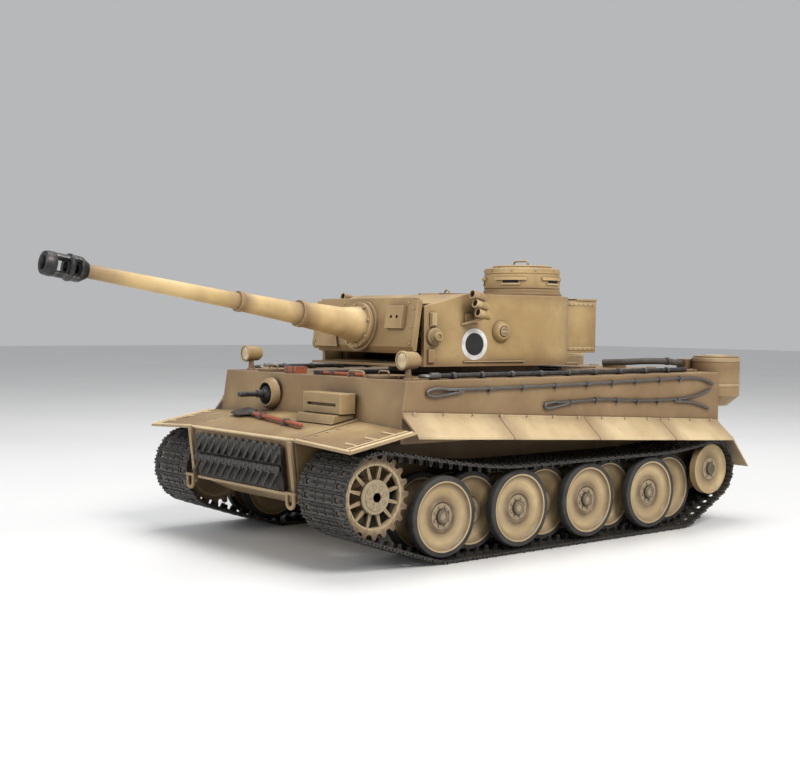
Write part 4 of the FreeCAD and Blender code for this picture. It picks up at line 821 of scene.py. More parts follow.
def shade_by(item, rule):
    """Store how much the paint is darkened at each vertex: painted shade on wheel and idler discs, a dark hub and
    dark worn tooth tips on the sprockets.
    """
    layer = item.data.attributes.new("shade", "FLOAT", "POINT")
    for entry, vertex in zip(layer.data, item.data.vertices):
        entry.value = rule(vertex.co)


DISC_WIDTH = 6.0


def off_axis(co):
    return math.hypot(co.y, co.z) / MM


def disc_item(start):
    """Dished wheel disc; the outer face carries the hub recess."""
    bm = bmesh.new()
    w = DISC_WIDTH
    face = [(w, 21.55), (w + 0.05, 21.1), (w - 0.25, 20.6), (w - 0.8, 20.35), (w - 1.5, 20.0),
            (w - 2.1, 18.8),
            (w - 2.7, 16.5), (w - 3.1, 13.5), (w - 3.2, 11.2), (w - 2.9, 10.2), (w - 2.35, 9.7),
            (w - 2.3, 9.1),
            (w - 2.9, 8.7), (w - 3.3, 8.2), (w - 3.3, 5.3)]
    rear = [(0.0, 5.3), (0.0, 8.5), (1.4, 9.4), (1.5, 13.0), (1.1, 17.0), (0.3, 20.0), (0.0, 21.0),
            (0.0, 21.55)]
    turn_mm(bm, [(start + x, r) for x, r in face + rear], sides=72, closed=True)
    return to_object("disc", bm, WHEEL_PAINT, 50)


def tyre_item(start):
    """Rubber tyre: shoulder, side wall with a moulded ring, and a lightly crowned tread."""
    bm = bmesh.new()
    outline = [(0.0, 21.6), (0.05, 23.2), (-0.0, 23.6), (0.1, 24.3), (0.7, 24.85), (1.6, 25.0), (4.4, 25.0),
               (5.3, 24.85), (5.9, 24.3), (6.0, 23.7), (5.8, 23.45), (5.95, 23.1), (6.0, 21.6)]
    turn_mm(bm, [(start + x, r) for x, r in outline], sides=72, closed=True)
    return to_object("tyre", bm, TYRE_RUBBER, 50)


def hub_item(end):
    """Hub tube, recessed hub face, domed cap."""
    bm = bmesh.new()
    turn_mm(bm, [
        (0.0, 2.5), (0.0, 5.2), (end - 3.4, 5.2), (end - 3.4, 8.0), (end - 3.0, 8.0), (end - 2.8, 7.4),
        (end - 2.8, 4.6), (end - 1.2, 4.4), (end - 0.7, 3.9), (end - 0.5, 2.4), (end - 1.1, 2.1),
        (end - 1.1, 0.0)], sides=40)
    return to_object("hub", bm, DARK_HUB, 35)


def hub_bolts(end):
    return repeated("hub_bolts", bolt_item(0.85 * MM, 0.9 * MM), ring_places(end - 2.9, 6.1, 8), DARK_HUB)


# Painted shade in the wheel's dish: darkest round the hub and just inside the rim lip.
def disc_shade(co):
    radius = off_axis(co)
    near_hub = 1 - smoothstep(9.5, 16.0, radius)
    near_rim = smoothstep(16.5, 20.2, radius)
    bare_lip = smoothstep(20.5, 20.9, radius)
    return max(1.0 * near_hub, 0.8 * near_rim * (1 - bare_lip))


def place_copies(parts, node, matrix):
    """Copies of template meshes, given as {last word of the name: template}, with their place in them."""
    for part, template in parts.items():
        mesh = template.data.copy()
        mesh.transform(matrix)
        settle(link_object(f"{node}_{part}", mesh), node)


def place_pair(parts, node, joint):
    """The templates on both sides of the hull, turned to face outwards, and then removed."""
    for side, sign in SIDES:
        centre = joint_point(joint.format(side))
        turn = Matrix.Rotation(0 if sign > 0 else math.pi, 4, "Z")
        place_copies(parts, node.format(side), Matrix.Translation((0, centre.y, centre.z)) @ turn)
    discard(parts)


def discard(parts):
    for template in parts.values():
        bpy.data.objects.remove(template)


def road_wheels():
    discs = join("wheel_discs", [disc_item(0.0), disc_item(22.0)])
    shade_by(discs, disc_shade)
    tyres = join("wheel_tyres", [tyre_item(0.0), tyre_item(22.0)])
    hubs = join("wheel_hubs", [hub_item(28.0), hub_bolts(28.0)])
    parts = {"discs": discs, "tyres": tyres, "hub": hubs}
    for side, sign in SIDES:
        for index in range(1, 9):
            node = f"road_wheel_{side}_{index}"
            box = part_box(node)
            inner_x = box[0].x if sign > 0 else box[1].x
            centre = joint_point(f"wheel_{side}_{index}_spin")
            turn = Matrix.Rotation(0 if sign > 0 else math.pi, 4, "Z")
            spin = Matrix.Rotation(0.37 * index, 4, "X")
            matrix = Matrix.Translation((inner_x, centre.y, centre.z)) @ turn @ spin
            place_copies(parts, node, matrix)
    discard(parts)


# ---------------------------------------------------------------- sprockets

TEETH = 20


def tooth_radius(angle):
    """Outer radius of the toothed ring at an angle, in millimetres."""
    phase = (angle * TEETH / (2 * math.pi)) % 1.0
    height = 1 - smoothstep(0.13, 0.30, min(phase, 1 - phase))
    return 22.3 + 3.5 * height


def toothed_rim(bm, start, width, inner):
    """Toothed ring between two faces, with the given inner radius."""
    steps = TEETH * 12
    rows = []
    for k in range(steps):
        angle = 2 * math.pi * k / steps
        outer = tooth_radius(angle)
        direction = Vector((0, math.cos(angle), math.sin(angle)))
        rows.append([bm.verts.new(mm(x, 0, 0) + direction * r * MM)
                     for x, r in ((start + 0.35, inner), (start, inner + 0.4), (start, outer - 0.5),
                                  (start + 0.5, outer), (start + width - 0.5, outer),
                                  (start + width, outer - 0.5), (start + width, inner + 0.4),
                                  (start + width - 0.35, inner))])
    faces = []
    for k in range(steps):
        a, b = rows[k], rows[(k + 1) % steps]
        count = len(a)
        faces += [bm.faces.new([a[i], a[(i + 1) % count], b[(i + 1) % count], b[i]]) for i in range(count)]
    bmesh.ops.recalc_face_normals(bm, faces=faces)


def sprocket_body(bm):
    toothed_rim(bm, 72.0, 2.8, 18.6)
    toothed_rim(bm, 101.8, 2.8, 18.2)
    turn_mm(bm, [
        (72.6, 3.1), (72.6, 19.0), (74.2, 19.0), (74.2, 12.0), (101.6, 9.8), (102.4, 10.3), (105.4, 10.2),
        (106.0, 9.6), (106.2, 8.2), (106.7, 7.8), (106.9, 3.2), (107.1, 2.8), (107.1, 0.0)], sides=56)
    turn_mm(bm, [(102.2, 18.0), (104.3, 18.0), (104.9, 18.4), (104.9, 19.4), (104.6, 19.8), (102.2, 19.8)],
            sides=72, closed=True)
    for index in range(12):
        angle = 2 * math.pi * (index + 0.5) / 12
        turn = Matrix.Rotation(angle, 4, "X")
        outline = [(9.6 * MM, -1.15 * MM), (18.8 * MM, -0.75 * MM), (18.8 * MM, 0.75 * MM),
                   (9.6 * MM, 1.15 * MM)]
        add_prism(bm, outline, "x", 102.6 * MM, 104.2 * MM, turn)


def sprocket_bolts():
    return join("sprocket_bolts", [
        repeated("rim_bolts", bolt_item(0.55 * MM, 0.4 * MM), ring_places(104.9, 18.9, 24), WHEEL_PAINT),
        repeated("face_bolts", bolt_item(0.7 * MM, 0.6 * MM), ring_places(106.7, 3.9, 6), DARK_HUB)])


def sprocket_holes(bm):
    turn_mm(bm, [(105.5, 10.25), (106.1, 9.7), (106.27, 8.2), (106.72, 7.85), (106.92, 3.2), (107.1, 2.8),
                          (107.1, 0)], sides=56)
    for index in range(8):
        angle = 2 * math.pi * (index + 0.3) / 8
        centre = mm(106.35, 6.3 * math.cos(angle), 6.3 * math.sin(angle))
        turn_mm(bm, [(0, 0), (0.3, 0), (0.3, 1.15), (0.62, 1.15), (0.62, 1.45), (0, 1.5)],
                Matrix.Translation(centre), sides=16)


def sprockets():
    bm = bmesh.new()
    sprocket_body(bm)
    body = to_object("sprocket_template", bm, SPROCKET_PAINT, 35)
    # Darkens the sprocket's outer hub face and its tooth tips: a dark hub and dark worn teeth.
    shade_by(body, lambda co: max(1.1 * (1 - smoothstep(10.5, 13.0, off_axis(co))) * (co.x > 0.1045),
                                 1.1 * smoothstep(23.6, 25.4, off_axis(co))))
    bm = bmesh.new()
    sprocket_holes(bm)
    holes = to_object("sprocket_hole_template", bm, DARK_HUB, 35)
    place_pair({"gear": body, "hub_holes": holes, "bolts": sprocket_bolts()}, "drive_sprocket_{}",
               "sprocket_{}_spin")


def idlers():
    bm = bmesh.new()
    for start in (79.0, 101.0):
        face = [(5.0, 18.2), (5.05, 17.4), (4.4, 17.0), (3.4, 16.4), (2.9, 14.0), (2.8, 9.5), (3.4, 8.6),
                (3.4, 5.3)]
        rear = [(0.0, 5.3), (0.0, 8.4), (1.3, 9.5), (1.3, 14.0), (0.4, 16.8), (0.0, 17.4), (0.0, 18.2)]
        turn_mm(bm, [(start + x, r) for x, r in face + rear], sides=64, closed=True)
    disc = to_object("idler_template", bm, WHEEL_PAINT, 50)
    # Painted shade round the idler hub.
    shade_by(disc, lambda co: 0.8 * (1 - smoothstep(8.5, 12.5, off_axis(co))))
    bm = bmesh.new()
    turn_mm(bm, [
        (79.0, 2.5), (79.0, 5.2), (104.6, 5.2), (104.6, 8.0), (105.0, 7.8), (105.0, 4.4), (106.8, 4.0),
        (107.2, 3.2), (107.2, 0.0)], sides=36)
    hub = to_object("idler_hub_template", bm, DARK_HUB, 35)
    bolts = repeated("idler_bolts", bolt_item(0.8 * MM, 0.7 * MM), ring_places(105.0, 6.1, 6), DARK_HUB)
    place_pair({"discs": disc, "hub": hub, "bolts": bolts}, "idler_{}", "idler_{}_spin")


# ---------------------------------------------------------------- placements

TRUNNION = joint_point("gun_elevate")
GUN_RISE = math.radians(8.7)
BORE = Vector((0, -math.cos(GUN_RISE), math.sin(GUN_RISE)))
ALONG_BORE = pointing(TRUNNION, BORE)
TURRET_Y = joint_point("turret_turn").y / MM
WALL_TAPER = math.atan2(10.5, 95.4)
MANTLET_FACE = 32.4
# Seats on the turret's side wall: millimetres behind the turret's axis, and height.
DISCHARGER_SEAT = (-47.5, 149)
PORT_SEAT = (-23.5, 139.4)
PEG_SEAT = (-77, 136)


def upright(x, y, z):
    """Matrix that stands a turned piece on a point, its axis up."""
    return Matrix.Translation(mm(x, y, z)) @ Matrix.Rotation(-math.pi / 2, 4, "Y")


def on_wall(side, local_y, z):
    """Matrix that seats a piece facing +X on the turret's tapering side wall."""
    x = 56 + (local_y + 84.5) / 95.4 * 10.5 + 0.45
    seat = (Matrix.Translation(mm(x, TURRET_Y + local_y, z))
            @ Matrix.Rotation(-WALL_TAPER - math.radians(1), 4, "Z"))
    return seat if side > 0 else Matrix.Scale(-1, 4, (1, 0, 0)) @ seat


def seated(item, matrix):
    """Move a piece's vertices by a matrix; a mirrored piece keeps its faces outward."""
    item.data.transform(matrix)
    if matrix.determinant() < 0:
        item.data.flip_normals()
    return item


def add_sector(bm, x0, x1, inner, outer, start, end, matrix=None, steps=12):
    """Part of a ring about X between two angles in degrees."""
    rows = []
    for k in range(steps + 1):
        angle = math.radians(start + (end - start) * k / steps)
        c, s = math.cos(angle), math.sin(angle)
        rows.append([bm.verts.new((x, r * c, r * s))
                     for x, r in ((x0, inner), (x0, outer), (x1, outer), (x1, inner))])
    faces = []
    for a, b in zip(rows, rows[1:]):
        faces += [bm.faces.new([a[i], a[(i + 1) % 4], b[(i + 1) % 4], b[i]]) for i in range(4)]
    faces += [bm.faces.new(rows[0][::-1]), bm.faces.new(rows[-1])]
    bmesh.ops.recalc_face_normals(bm, faces=faces)
    if matrix is not None:
        bmesh.ops.transform(bm, matrix=matrix, verts=[vertex for row in rows for vertex in row])


# ------------------------------------------------------------------- gun

def muzzle_brake():
    def build(bm):
        for profile in (
                [(259, 4.3), (259, 6.0), (258.5, 6.7), (256, 7.1), (253.4, 7.1), (252.4, 6.6), (252.2, 3.4),
                 (256, 3.0)],
                [(245.3, 3.2), (245.4, 5.0), (245.0, 7.4), (244.0, 8.0), (242.6, 7.9), (241.9, 7.3),
                 (241.7, 4.2),
                 (242.4, 3.2)],
                [(238.4, 2.8), (238.3, 6.6), (237.6, 7.4), (236.6, 7.3), (234.2, 5.7), (232.6, 5.0),
                 (232.5, 2.8)]):
            turn_mm(bm, profile, ALONG_BORE, 48, closed=True)
        for x0, x1, inner, outer in ((244.6, 252.8, 4.6, 6.9), (238.0, 242.2, 5.2, 7.5)):
            for middle in (90, -90):
                add_sector(bm, x0 * MM, x1 * MM, inner * MM, outer * MM, middle - 48, middle + 48,
                           ALONG_BORE)
    piece("brake_body", build, GUNMETAL, "muzzle_brake", bevel=0.25 * MM)


def barrel_details():
    bolts = repeated("flange_bolts", bolt_item(1.15 * MM, 0.9 * MM),
                     ring_places(MANTLET_FACE + 5.2, 13.7, 8, 0.25, ALONG_BORE), GUN_PAINT)
    settle(bolts, "gun_barrel")


def mantlet_details():
    face = MANTLET_FACE

    def build(bm):
        turn_mm(bm, [(face - 0.1, 15), (face - 0.1, 17.0), (face + 0.8, 16.9), (face + 1.1, 16.3),
                              (face + 1.8, 16.1), (face + 1.8, 15)], ALONG_BORE, 64, closed=True)
        outline = [(-50 * MM, -14.5 * MM), (-23.0 * MM, -14.5 * MM), (-28.0 * MM, -2.0 * MM),
                   (-45.0 * MM, -2.0 * MM)]
        add_prism(bm, outline, "x", (face - 0.1) * MM, (face + 1.9) * MM, ALONG_BORE)
    piece("mantlet_trim", build, TURRET_PAINT, "mantlet", bevel=0.4 * MM)
    bolts = [(ALONG_BORE @ mm(face, -y, z), facing(BORE)) for y, z in
             ((-52.5, 12), (-52.5, 0), (-52.5, -11), (52.5, 12), (52.5, 0), (52.5, -11), (-47, 15.5),
              (22, 15.5))]
    settle(repeated("mantlet_bolts", bolt_item(0.9 * MM, 0.6 * MM), bolts, TURRET_PAINT), "mantlet")


# ------------------------------------------------------------------- turret

CUPOLA_X, CUPOLA_Y = 31.0, TURRET_Y + 27


def slit_angle(index):
    """Middle of one of the cupola's five vision slits, in degrees."""
    return 90 - (72 * index - 46)


def cupola():
    base = upright(CUPOLA_X, CUPOLA_Y, 0)

    def build(bm):
        turn_mm(bm, [
            (164.0, 18.6), (164.0, 28.2), (165.7, 28.2), (166.2, 27.8), (166.3, 27.2), (168.3, 27.1),
            (168.6, 26.3),
            (169.2, 26.3), (169.5, 26.85), (178.8, 26.85), (179.1, 26.3), (179.5, 26.3), (179.8, 26.7),
            (183.0, 26.5), (183.6, 25.8), (183.7, 18.6)], base, 96, closed=True)
        for index in range(5):
            middle = slit_angle(index)
            add_sector(bm, 174.9 * MM, 177.0 * MM, 26.2 * MM, 28.3 * MM, middle - 24, middle + 24, base)
            add_sector(bm, 171.6 * MM, 173.0 * MM, 26.2 * MM, 27.6 * MM, middle - 15, middle + 15, base)
    piece("cupola_body", build, TURRET_PAINT, "cupola", bevel=0.25 * MM)

    # Painted shade: black fills behind the vision slits.
    def slits(bm):
        for index in range(5):
            middle = slit_angle(index)
            add_sector(bm, 173.0 * MM, 174.9 * MM, 26.2 * MM, 26.98 * MM, middle - 12, middle + 12, base)
    piece("cupola_slits", slits, HOLE_SHADE_BLACK, "cupola")
    screws = []
    for index in range(10):
        angle = math.radians(36 * index - 60)
        heading = Vector((math.cos(angle), math.sin(angle), 0))
        screws.append((mm(CUPOLA_X, CUPOLA_Y, 181.6) + heading * 26.5 * MM, facing(heading)))
    settle(repeated("cupola_screws", bolt_item(0.8 * MM, 0.5 * MM), screws, DARK_HUB), "cupola")


def loop_handle(name, start, end, height, radius, material, node):
    """Bent-rod handle between two feet on a surface."""
    start, end = Vector(start), Vector(end)
    rise = Vector((0, 0, height))
    lean = (end - start) * 0.06
    points = [start, start + rise * 0.55, start + rise + lean, (start + end) / 2 + rise, end + rise - lean,
              end + rise * 0.55, end]
    settle(tube_curve(name, points, radius, material), node)


def hatches():
    base = upright(CUPOLA_X, CUPOLA_Y, 0)

    def lid(bm):
        turn_mm(bm, [(181.6, 0), (181.6, 17.7), (183.8, 17.7), (183.8, 20.9), (185.0, 20.9), (185.6, 20.2),
                              (185.6, 17.2), (185.2, 16.6), (185.2, 9.0), (185.6, 8.4), (185.6, 0)], base,
                72)
        add_rod(bm, mm(CUPOLA_X - 6, CUPOLA_Y + 22.4, 185), mm(CUPOLA_X + 6, CUPOLA_Y + 22.4, 185), 1.2 * MM)
        add_box(bm, mm(CUPOLA_X - 4.5, CUPOLA_Y + 17.5, 184.1), mm(CUPOLA_X + 4.5, CUPOLA_Y + 22.5, 185.5))
    piece("commander_lid", lid, TURRET_PAINT, "commander_hatch",
          bevel=0.25 * MM)
    loop_handle("commander_handle", mm(CUPOLA_X + 1, CUPOLA_Y - 9, 185.4),
                mm(CUPOLA_X + 15, CUPOLA_Y - 9, 185.4), 3.1 * MM, 0.65 * MM, TURRET_PAINT, "commander_hatch")
    for name, x in (("driver", 62), ("radio", -62)):
        loop_handle(f"{name}_handle", mm(x - 5, -66, 112), mm(x + 5, -66, 112), 2.6 * MM, 0.6 * MM,
                    HULL_PAINT, f"{name}_hatch")


def dischargers():
    tubes = ((10.8, -7.6, 14.6), (11.8, -6.0, 8.8), (12.2, -4.0, 2.8))
    heading = Vector((0.10, -0.95, 0.24)).normalized()
    for side, sign in SIDES:
        bm = bmesh.new()
        outline = [(0, -3.5 * MM), (9.5 * MM, -0.5 * MM), (10 * MM, 12 * MM), (4 * MM, 14.5 * MM),
                   (0, 11 * MM)]
        add_prism(bm, [(x, z) for x, z in outline], "y", 1.4 * MM, 2.6 * MM)
        add_rod(bm, mm(0, -8, -5.2), mm(12.5, 6, 0.2), 0.9 * MM, 10)
        add_box(bm, mm(0, -6, -4), mm(1.0, 5, 2))
        for place in tubes:
            turn_mm(bm, [(0, 2.2), (0, 2.8), (0.7, 3.0), (1.4, 2.75), (9.6, 2.75), (10.8, 2.2), (11, 0)],
                    pointing(mm(*place), -heading), 24)
            turn_mm(bm, [(0, 2.2), (4.0, 2.1), (4.0, 0)], pointing(mm(*place), -heading), 24)
        item = to_object(f"discharger_{side}", bm, TURRET_PAINT, 35)
        settle(seated(item, on_wall(sign, *DISCHARGER_SEAT)), "smoke_dischargers")
        # Painted shade: black discs deep in each discharger tube.
        bm = bmesh.new()
        for place in tubes:
            turn_mm(bm, [(2.6, 0), (2.6, 2.14), (3.9, 2.1), (3.9, 0)], pointing(mm(*place), -heading), 20)
        bore_shade = to_object(f"discharger_plugs_{side}", bm, HOLE_SHADE_BLACK, 35)
        settle(seated(bore_shade, on_wall(sign, *DISCHARGER_SEAT)), "smoke_dischargers")


def fittings():
    """Lifting pegs, pistol ports, vision blocks and low plates on both turret walls."""
    for side, sign in SIDES:
        def fit(name, build, material, local_y, z, bevel=0.0):
            bm = bmesh.new()
            build(bm)
            item = to_object(f"{name}_{side}", bm, material, 35)
            if bevel:
                bevelled(item, bevel)
            settle(seated(item, on_wall(sign, local_y, z)), "turret_fittings")

        fit("peg", lambda bm: turn_mm(bm, [
            (0, 0), (0, 5.8), (1.2, 5.8), (1.9, 5.2), (2.2, 4.2), (2.2, 3.3), (5.6, 3.1), (6.4, 2.6),
            (6.4, 1.7),
            (5.7, 1.5), (5.7, 0)], sides=40), TURRET_PAINT, *PEG_SEAT)
        fit("peg_ring", lambda bm: turn_mm(bm, [
            (2.2, 3.0), (2.2, 4.3), (3.1, 4.1), (3.3, 3.0)], sides=32, closed=True), DARK_HUB, *PEG_SEAT)
        fit("port", lambda bm: turn_mm(bm, [
            (0, 0), (0, 7.3), (0.9, 7.2), (3.2, 5.3), (3.7, 4.5), (3.7, 3.9), (3.2, 3.6), (3.2, 0)],
                                       sides=48),
            TURRET_PAINT, *PORT_SEAT)
        fit("port_plug", lambda bm: turn_mm(bm, [
            (3.1, 0), (3.1, 3.4), (4.2, 3.3), (4.5, 2.9), (4.5, 0)], sides=36), WORN_PAINT, *PORT_SEAT)
        fit("port_slot", lambda bm: add_box(bm, mm(4.4, -2.9, -0.35), mm(4.75, 2.9, 0.35)), TURRET_PAINT,
            *PORT_SEAT, 0.1 * MM)

        def vision(bm):
            add_box(bm, mm(0, -2.6, -4.6), mm(1.0, 2.6, 4.6))
            add_box(bm, mm(0, -1.9, -3.9), mm(2.0, 1.9, 3.9))
        fit("vision", vision, TURRET_PAINT, -78, 147, 0.3 * MM)
        fit("low_plate", lambda bm: add_box(bm, mm(0, -2.4, -4.4), mm(1.3, 2.4, 4.4)), TURRET_PAINT,
            -79.5, 123.5, 0.35 * MM)
        fit("side_rail", lambda bm: add_rod(bm, mm(0.7, -26, 0), mm(0.4, 24, 0), 0.55 * MM, 10),
            TURRET_PAINT,
            -28, 119.5)


def round_marks():
    """Plain round identification mark on each turret wall: a dark disc in a pale ring."""
    tree = tree_of("turret_shell")
    for side, sign in SIDES:
        for name, inner, outer, material, lift in (("mark_disc", 0.0, 7.4, DECAL_BLACK, 0.16),
                                                   ("mark_ring", 7.4, 10.4, DECAL_WHITE, 0.16)):
            bm = bmesh.new()
            rings = []
            for radius in [inner + (outer - inner) * k / 4 for k in range(5)]:
                ring = []
                for k in range(48):
                    angle = 2 * math.pi * k / 48
                    start = mm(sign * 110, TURRET_Y - 45 + max(radius, 0.05) * math.cos(angle),
                               131 + max(radius, 0.05) * math.sin(angle))
                    point, normal, _, _ = tree.ray_cast(start, Vector((-sign, 0, 0)))
                    if normal.x * sign < 0:
                        normal = -normal
                    ring.append(bm.verts.new(point + normal * lift * MM))
                rings.append(ring)
            for a, b in zip(rings, rings[1:]):
                for k in range(48):
                    order = [a[k], b[k], b[(k + 1) % 48], a[(k + 1) % 48]]
                    bm.faces.new(order if sign > 0 else order[::-1])
            settle(to_object(f"{name}_{side}", bm, material), "turret_shell")


def bin_trim():
    def build(bm):
        y = 150.2
        for x in (-26, 0, 26):
            add_box(bm, mm(x - 3, y - 0.6, 150), mm(x + 3, y + 1.0, 163.4))
            add_rod(bm, mm(x - 3.4, y + 0.4, 161.8), mm(x + 3.4, y + 0.4, 161.8), 0.9 * MM, 12)
        for z in (126, 158.5):
            for side in (1, -1):
                add_box(bm, mm(side * 41 - 0.5, 118, z), mm(side * 41 + 0.5, 148, z + 2.4))
    piece("bin_trim", build, TURRET_PAINT, "stowage_bin", bevel=0.3 * MM)
    rivets = [(mm(side * 41.5, y, z), facing((side, 0, 0))) for side in (1, -1) for z in (127.2, 159.7)
              for y in range(121, 148, 5)]
    settle(repeated("bin_rivets", rivet_item(0.8 * MM), rivets, TURRET_PAINT), "stowage_bin")


# --------------------------------------------------------------------- hull

GUN_PORT = mm(-37.5, -84.0, 96.4)
AHEAD = Vector((0, -1, 0))
LAMP_X = 88
ROOF_Z = 110.3
FILTER_X, FILTER_Y = 80, 242.9
SKIRT_FRONT_Z, SKIRT_REAR_Z = 90.4, 74.2


def hull_gun_details():
    def socket(bm):
        turn_mm(bm, [(-0.2, 7.6), (-0.2, 10.7), (1.6, 10.6), (4.2, 9.4), (5.0, 8.4), (5.0, 7.6), (4.2, 7.2)],
                  pointing(GUN_PORT, AHEAD), 56, closed=True)
    piece("gun_socket", socket, HULL_PAINT, "hull_gun_mount")

    # Painted shade: a black ring in the gap of the gun socket.
    def dark_throat(bm):
        turn_mm(bm, [(0.6, 6.3), (0.6, 7.7), (4.3, 7.7), (4.3, 6.9)], pointing(GUN_PORT, AHEAD), 48,
                  closed=True)
    piece("gun_throat", dark_throat, HOLE_SHADE_BLACK, "hull_gun_mount")


def headlamps():
    for side, sign in SIDES:
        drum = pointing(mm(sign * LAMP_X, -64.5, 122), AHEAD)

        def build(bm):
            turn_mm(bm, [(-5.3, 0), (-5.1, 1.8), (-4.2, 3.4), (-2.4, 4.8), (0, 5.3), (6.6, 5.4), (7.0, 5.9),
                                  (8.8, 5.9), (9.1, 5.6), (9.1, 4.7), (8.3, 4.5), (8.3, 0)], drum, 48)
            turn_mm(bm, [(0, 0), (0, 3.2), (0.9, 3.0), (1.4, 2.0), (7, 1.7), (7.4, 0)],
                      upright(sign * LAMP_X, -68, ROOF_Z), 24)
        piece(f"lamp_body_{side}", build, HULL_PAINT, "headlights", bevel=0.15 * MM)

        def lens(bm):
            turn_mm(bm, [(8.2, 0), (8.2, 4.6), (8.6, 4.4), (8.9, 2.4), (9.0, 0)], drum, 48)
        piece(f"lamp_lens_{side}", lens, LENS, "headlights")


def skirt_top(y):
    share = (y - SKIRT_LOW / MM) / ((SKIRT_HIGH - SKIRT_LOW) / MM)
    return SKIRT_FRONT_Z + share * (SKIRT_REAR_Z - SKIRT_FRONT_Z)


def side_trim():
    """Bolts along the skirt strips, with a small lug at each bolt."""
    places = []
    for sign in (1, -1):
        for index in range(13):
            y = SKIRT_LOW / MM + 8 + index * 23.6
            places.append((mm(sign * 102.4, y, skirt_top(y) + 0.9), facing((sign, 0, 0))))
    settle(repeated("skirt_bolts", bolt_item(1.15 * MM, 0.8 * MM), places, WORN_PAINT), "side_skirts")

    def lugs(bm):
        for sign in (1, -1):
            for index in range(13):
                y = SKIRT_LOW / MM + 8 + index * 23.6
                add_box(bm, mm(min(sign * 101.2, sign * 103.2), y - 1.6, skirt_top(y) - 0.6),
                        mm(max(sign * 101.2, sign * 103.2), y + 1.6, skirt_top(y) + 0.35))
    piece("skirt_lugs", lugs, SKIRT_LIT_PAINT, "side_skirts", bevel=0.2 * MM)


def tree_of(node):
    data = frame["nodes"][node].data
    return bvhtree.BVHTree.FromPolygons([vertex.co[:] for vertex in data.vertices],
                                        [polygon.vertices[:] for polygon in data.polygons])


def guard_trim():
    tree = tree_of("mudguards")

    def top(x, y, lift=0.0):
        return tree.ray_cast(mm(x, y, 120), Vector((0, 0, -1)))[0] + mm(0, 0, lift)

    def rims(bm):
        for sign in (1, -1):
            for x, radius in ((114.6, 0.8), (109.5, 0.55)):
                add_rod(bm, top(sign * x, -131.0, 0.2), top(sign * x, -86.0, 0.2), radius * MM, 10)
            add_rod(bm, top(sign * 61.5, -131.2, 0.1), top(sign * 114.6, -131.2, 0.1), 0.8 * MM, 10)
            for y in (-122, -108, -95):
                add_rod(bm, top(sign * 98, y, 0.2), top(sign * 109, y, 0.2), 0.7 * MM, 10)
        add_rod(bm, mm(-60, -131.5, 74.9), mm(60, -131.5, 74.9), 0.8 * MM, 10)
    piece("guard_rims", rims, EDGE_PAINT, "mudguards")
    places = [(top(sign * x, y), facing((0, -0.19, 1))) for sign in (1, -1) for x in (64.5, 105.5)
              for y in (-127, -119, -111, -103, -95)]
    settle(repeated("guard_bolts", bolt_item(0.8 * MM, 0.55 * MM), places, WORN_PAINT), "mudguards")


def spare_links():
    """Chevron grousers, pin knuckles and a rough middle band on each of the twelve spare links."""
    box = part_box("spare_track_links")
    low_z, high_z = box[0].z / MM, box[1].z / MM
    height = high_z - low_z
    lean = math.atan2(4.3, 33.1)
    bm = bmesh.new()
    for base in (0.29 * height, -0.23 * height):
        leaf = [(-3.6 * MM, (base - 4.4) * MM), (-1.2 * MM, (base - 4.8) * MM),
                (4.2 * MM, (base + 3.4) * MM),
                (2.6 * MM, (base + 4.2) * MM)]
        add_prism(bm, leaf, "x", 0.0, 1.5 * MM)
        turn_mm(bm, [(0, 0), (0, 1.9), (1.3, 1.7), (1.6, 1.2), (1.6, 0)],
                  Matrix.Translation(mm(0, -2.2, base + 5.4)), 10)
    add_box(bm, mm(0, -3.8, -0.03 * height - 2.2), mm(0.9, 3.8, -0.03 * height + 2.0))
    item = to_object("spare_item", bm, None, 30)
    tree = tree_of("spare_track_links")
    places = []
    for index in range(12):
        x = -45.65 + 8.3 * index
        point, _, _, _ = tree.ray_cast(mm(x, -200, (low_z + high_z) / 2), Vector((0, 1, 0)))
        turn = Matrix.Rotation(-lean, 3, "X") @ Matrix(((0, 1, 0), (-1, 0, 0), (0, 0, 1)))
        places.append((point + Vector((0, 0.0002, 0)), turn.to_euler()))
    settle(repeated("spare_grousers", item, places, TRACK_METAL), "spare_track_links")


def roof_details():
    loop_handle("roof_handle", mm(39, -76.0, ROOF_Z), mm(55, -76.0, ROOF_Z), 4.0 * MM, 0.75 * MM,
                HULL_PAINT, "upper_hull")
    slats = []
    for sign in (1, -1):
        for y0 in (128, 176):
            for index in range(8):
                slats.append((mm(sign * 62, y0 + index * 4, 111.2), (0, 0, 0)))
    bm = bmesh.new()
    add_prism(bm, [(-0.5 * MM, -0.6 * MM), (0.9 * MM, 0.6 * MM), (0.5 * MM, 0.9 * MM),
                   (-0.9 * MM, -0.3 * MM)],
              "x", -15 * MM, 15 * MM)
    slat = to_object("slat_item", bm, None)
    settle(repeated("grille_slats", slat, slats, HULL_PAINT), "engine_deck")
    bolts = [(mm(sign * 81.5, y, 111.9), facing((0, 0, 1))) for sign in (1, -1) for y in range(121, 215, 9)]
    bolts += [(mm(x, 119.5, 111.9), facing((0, 0, 1))) for x in range(-76, 77, 12)]
    settle(repeated("deck_bolts", bolt_item(0.9 * MM, 0.5 * MM), bolts, HULL_PAINT), "engine_deck")


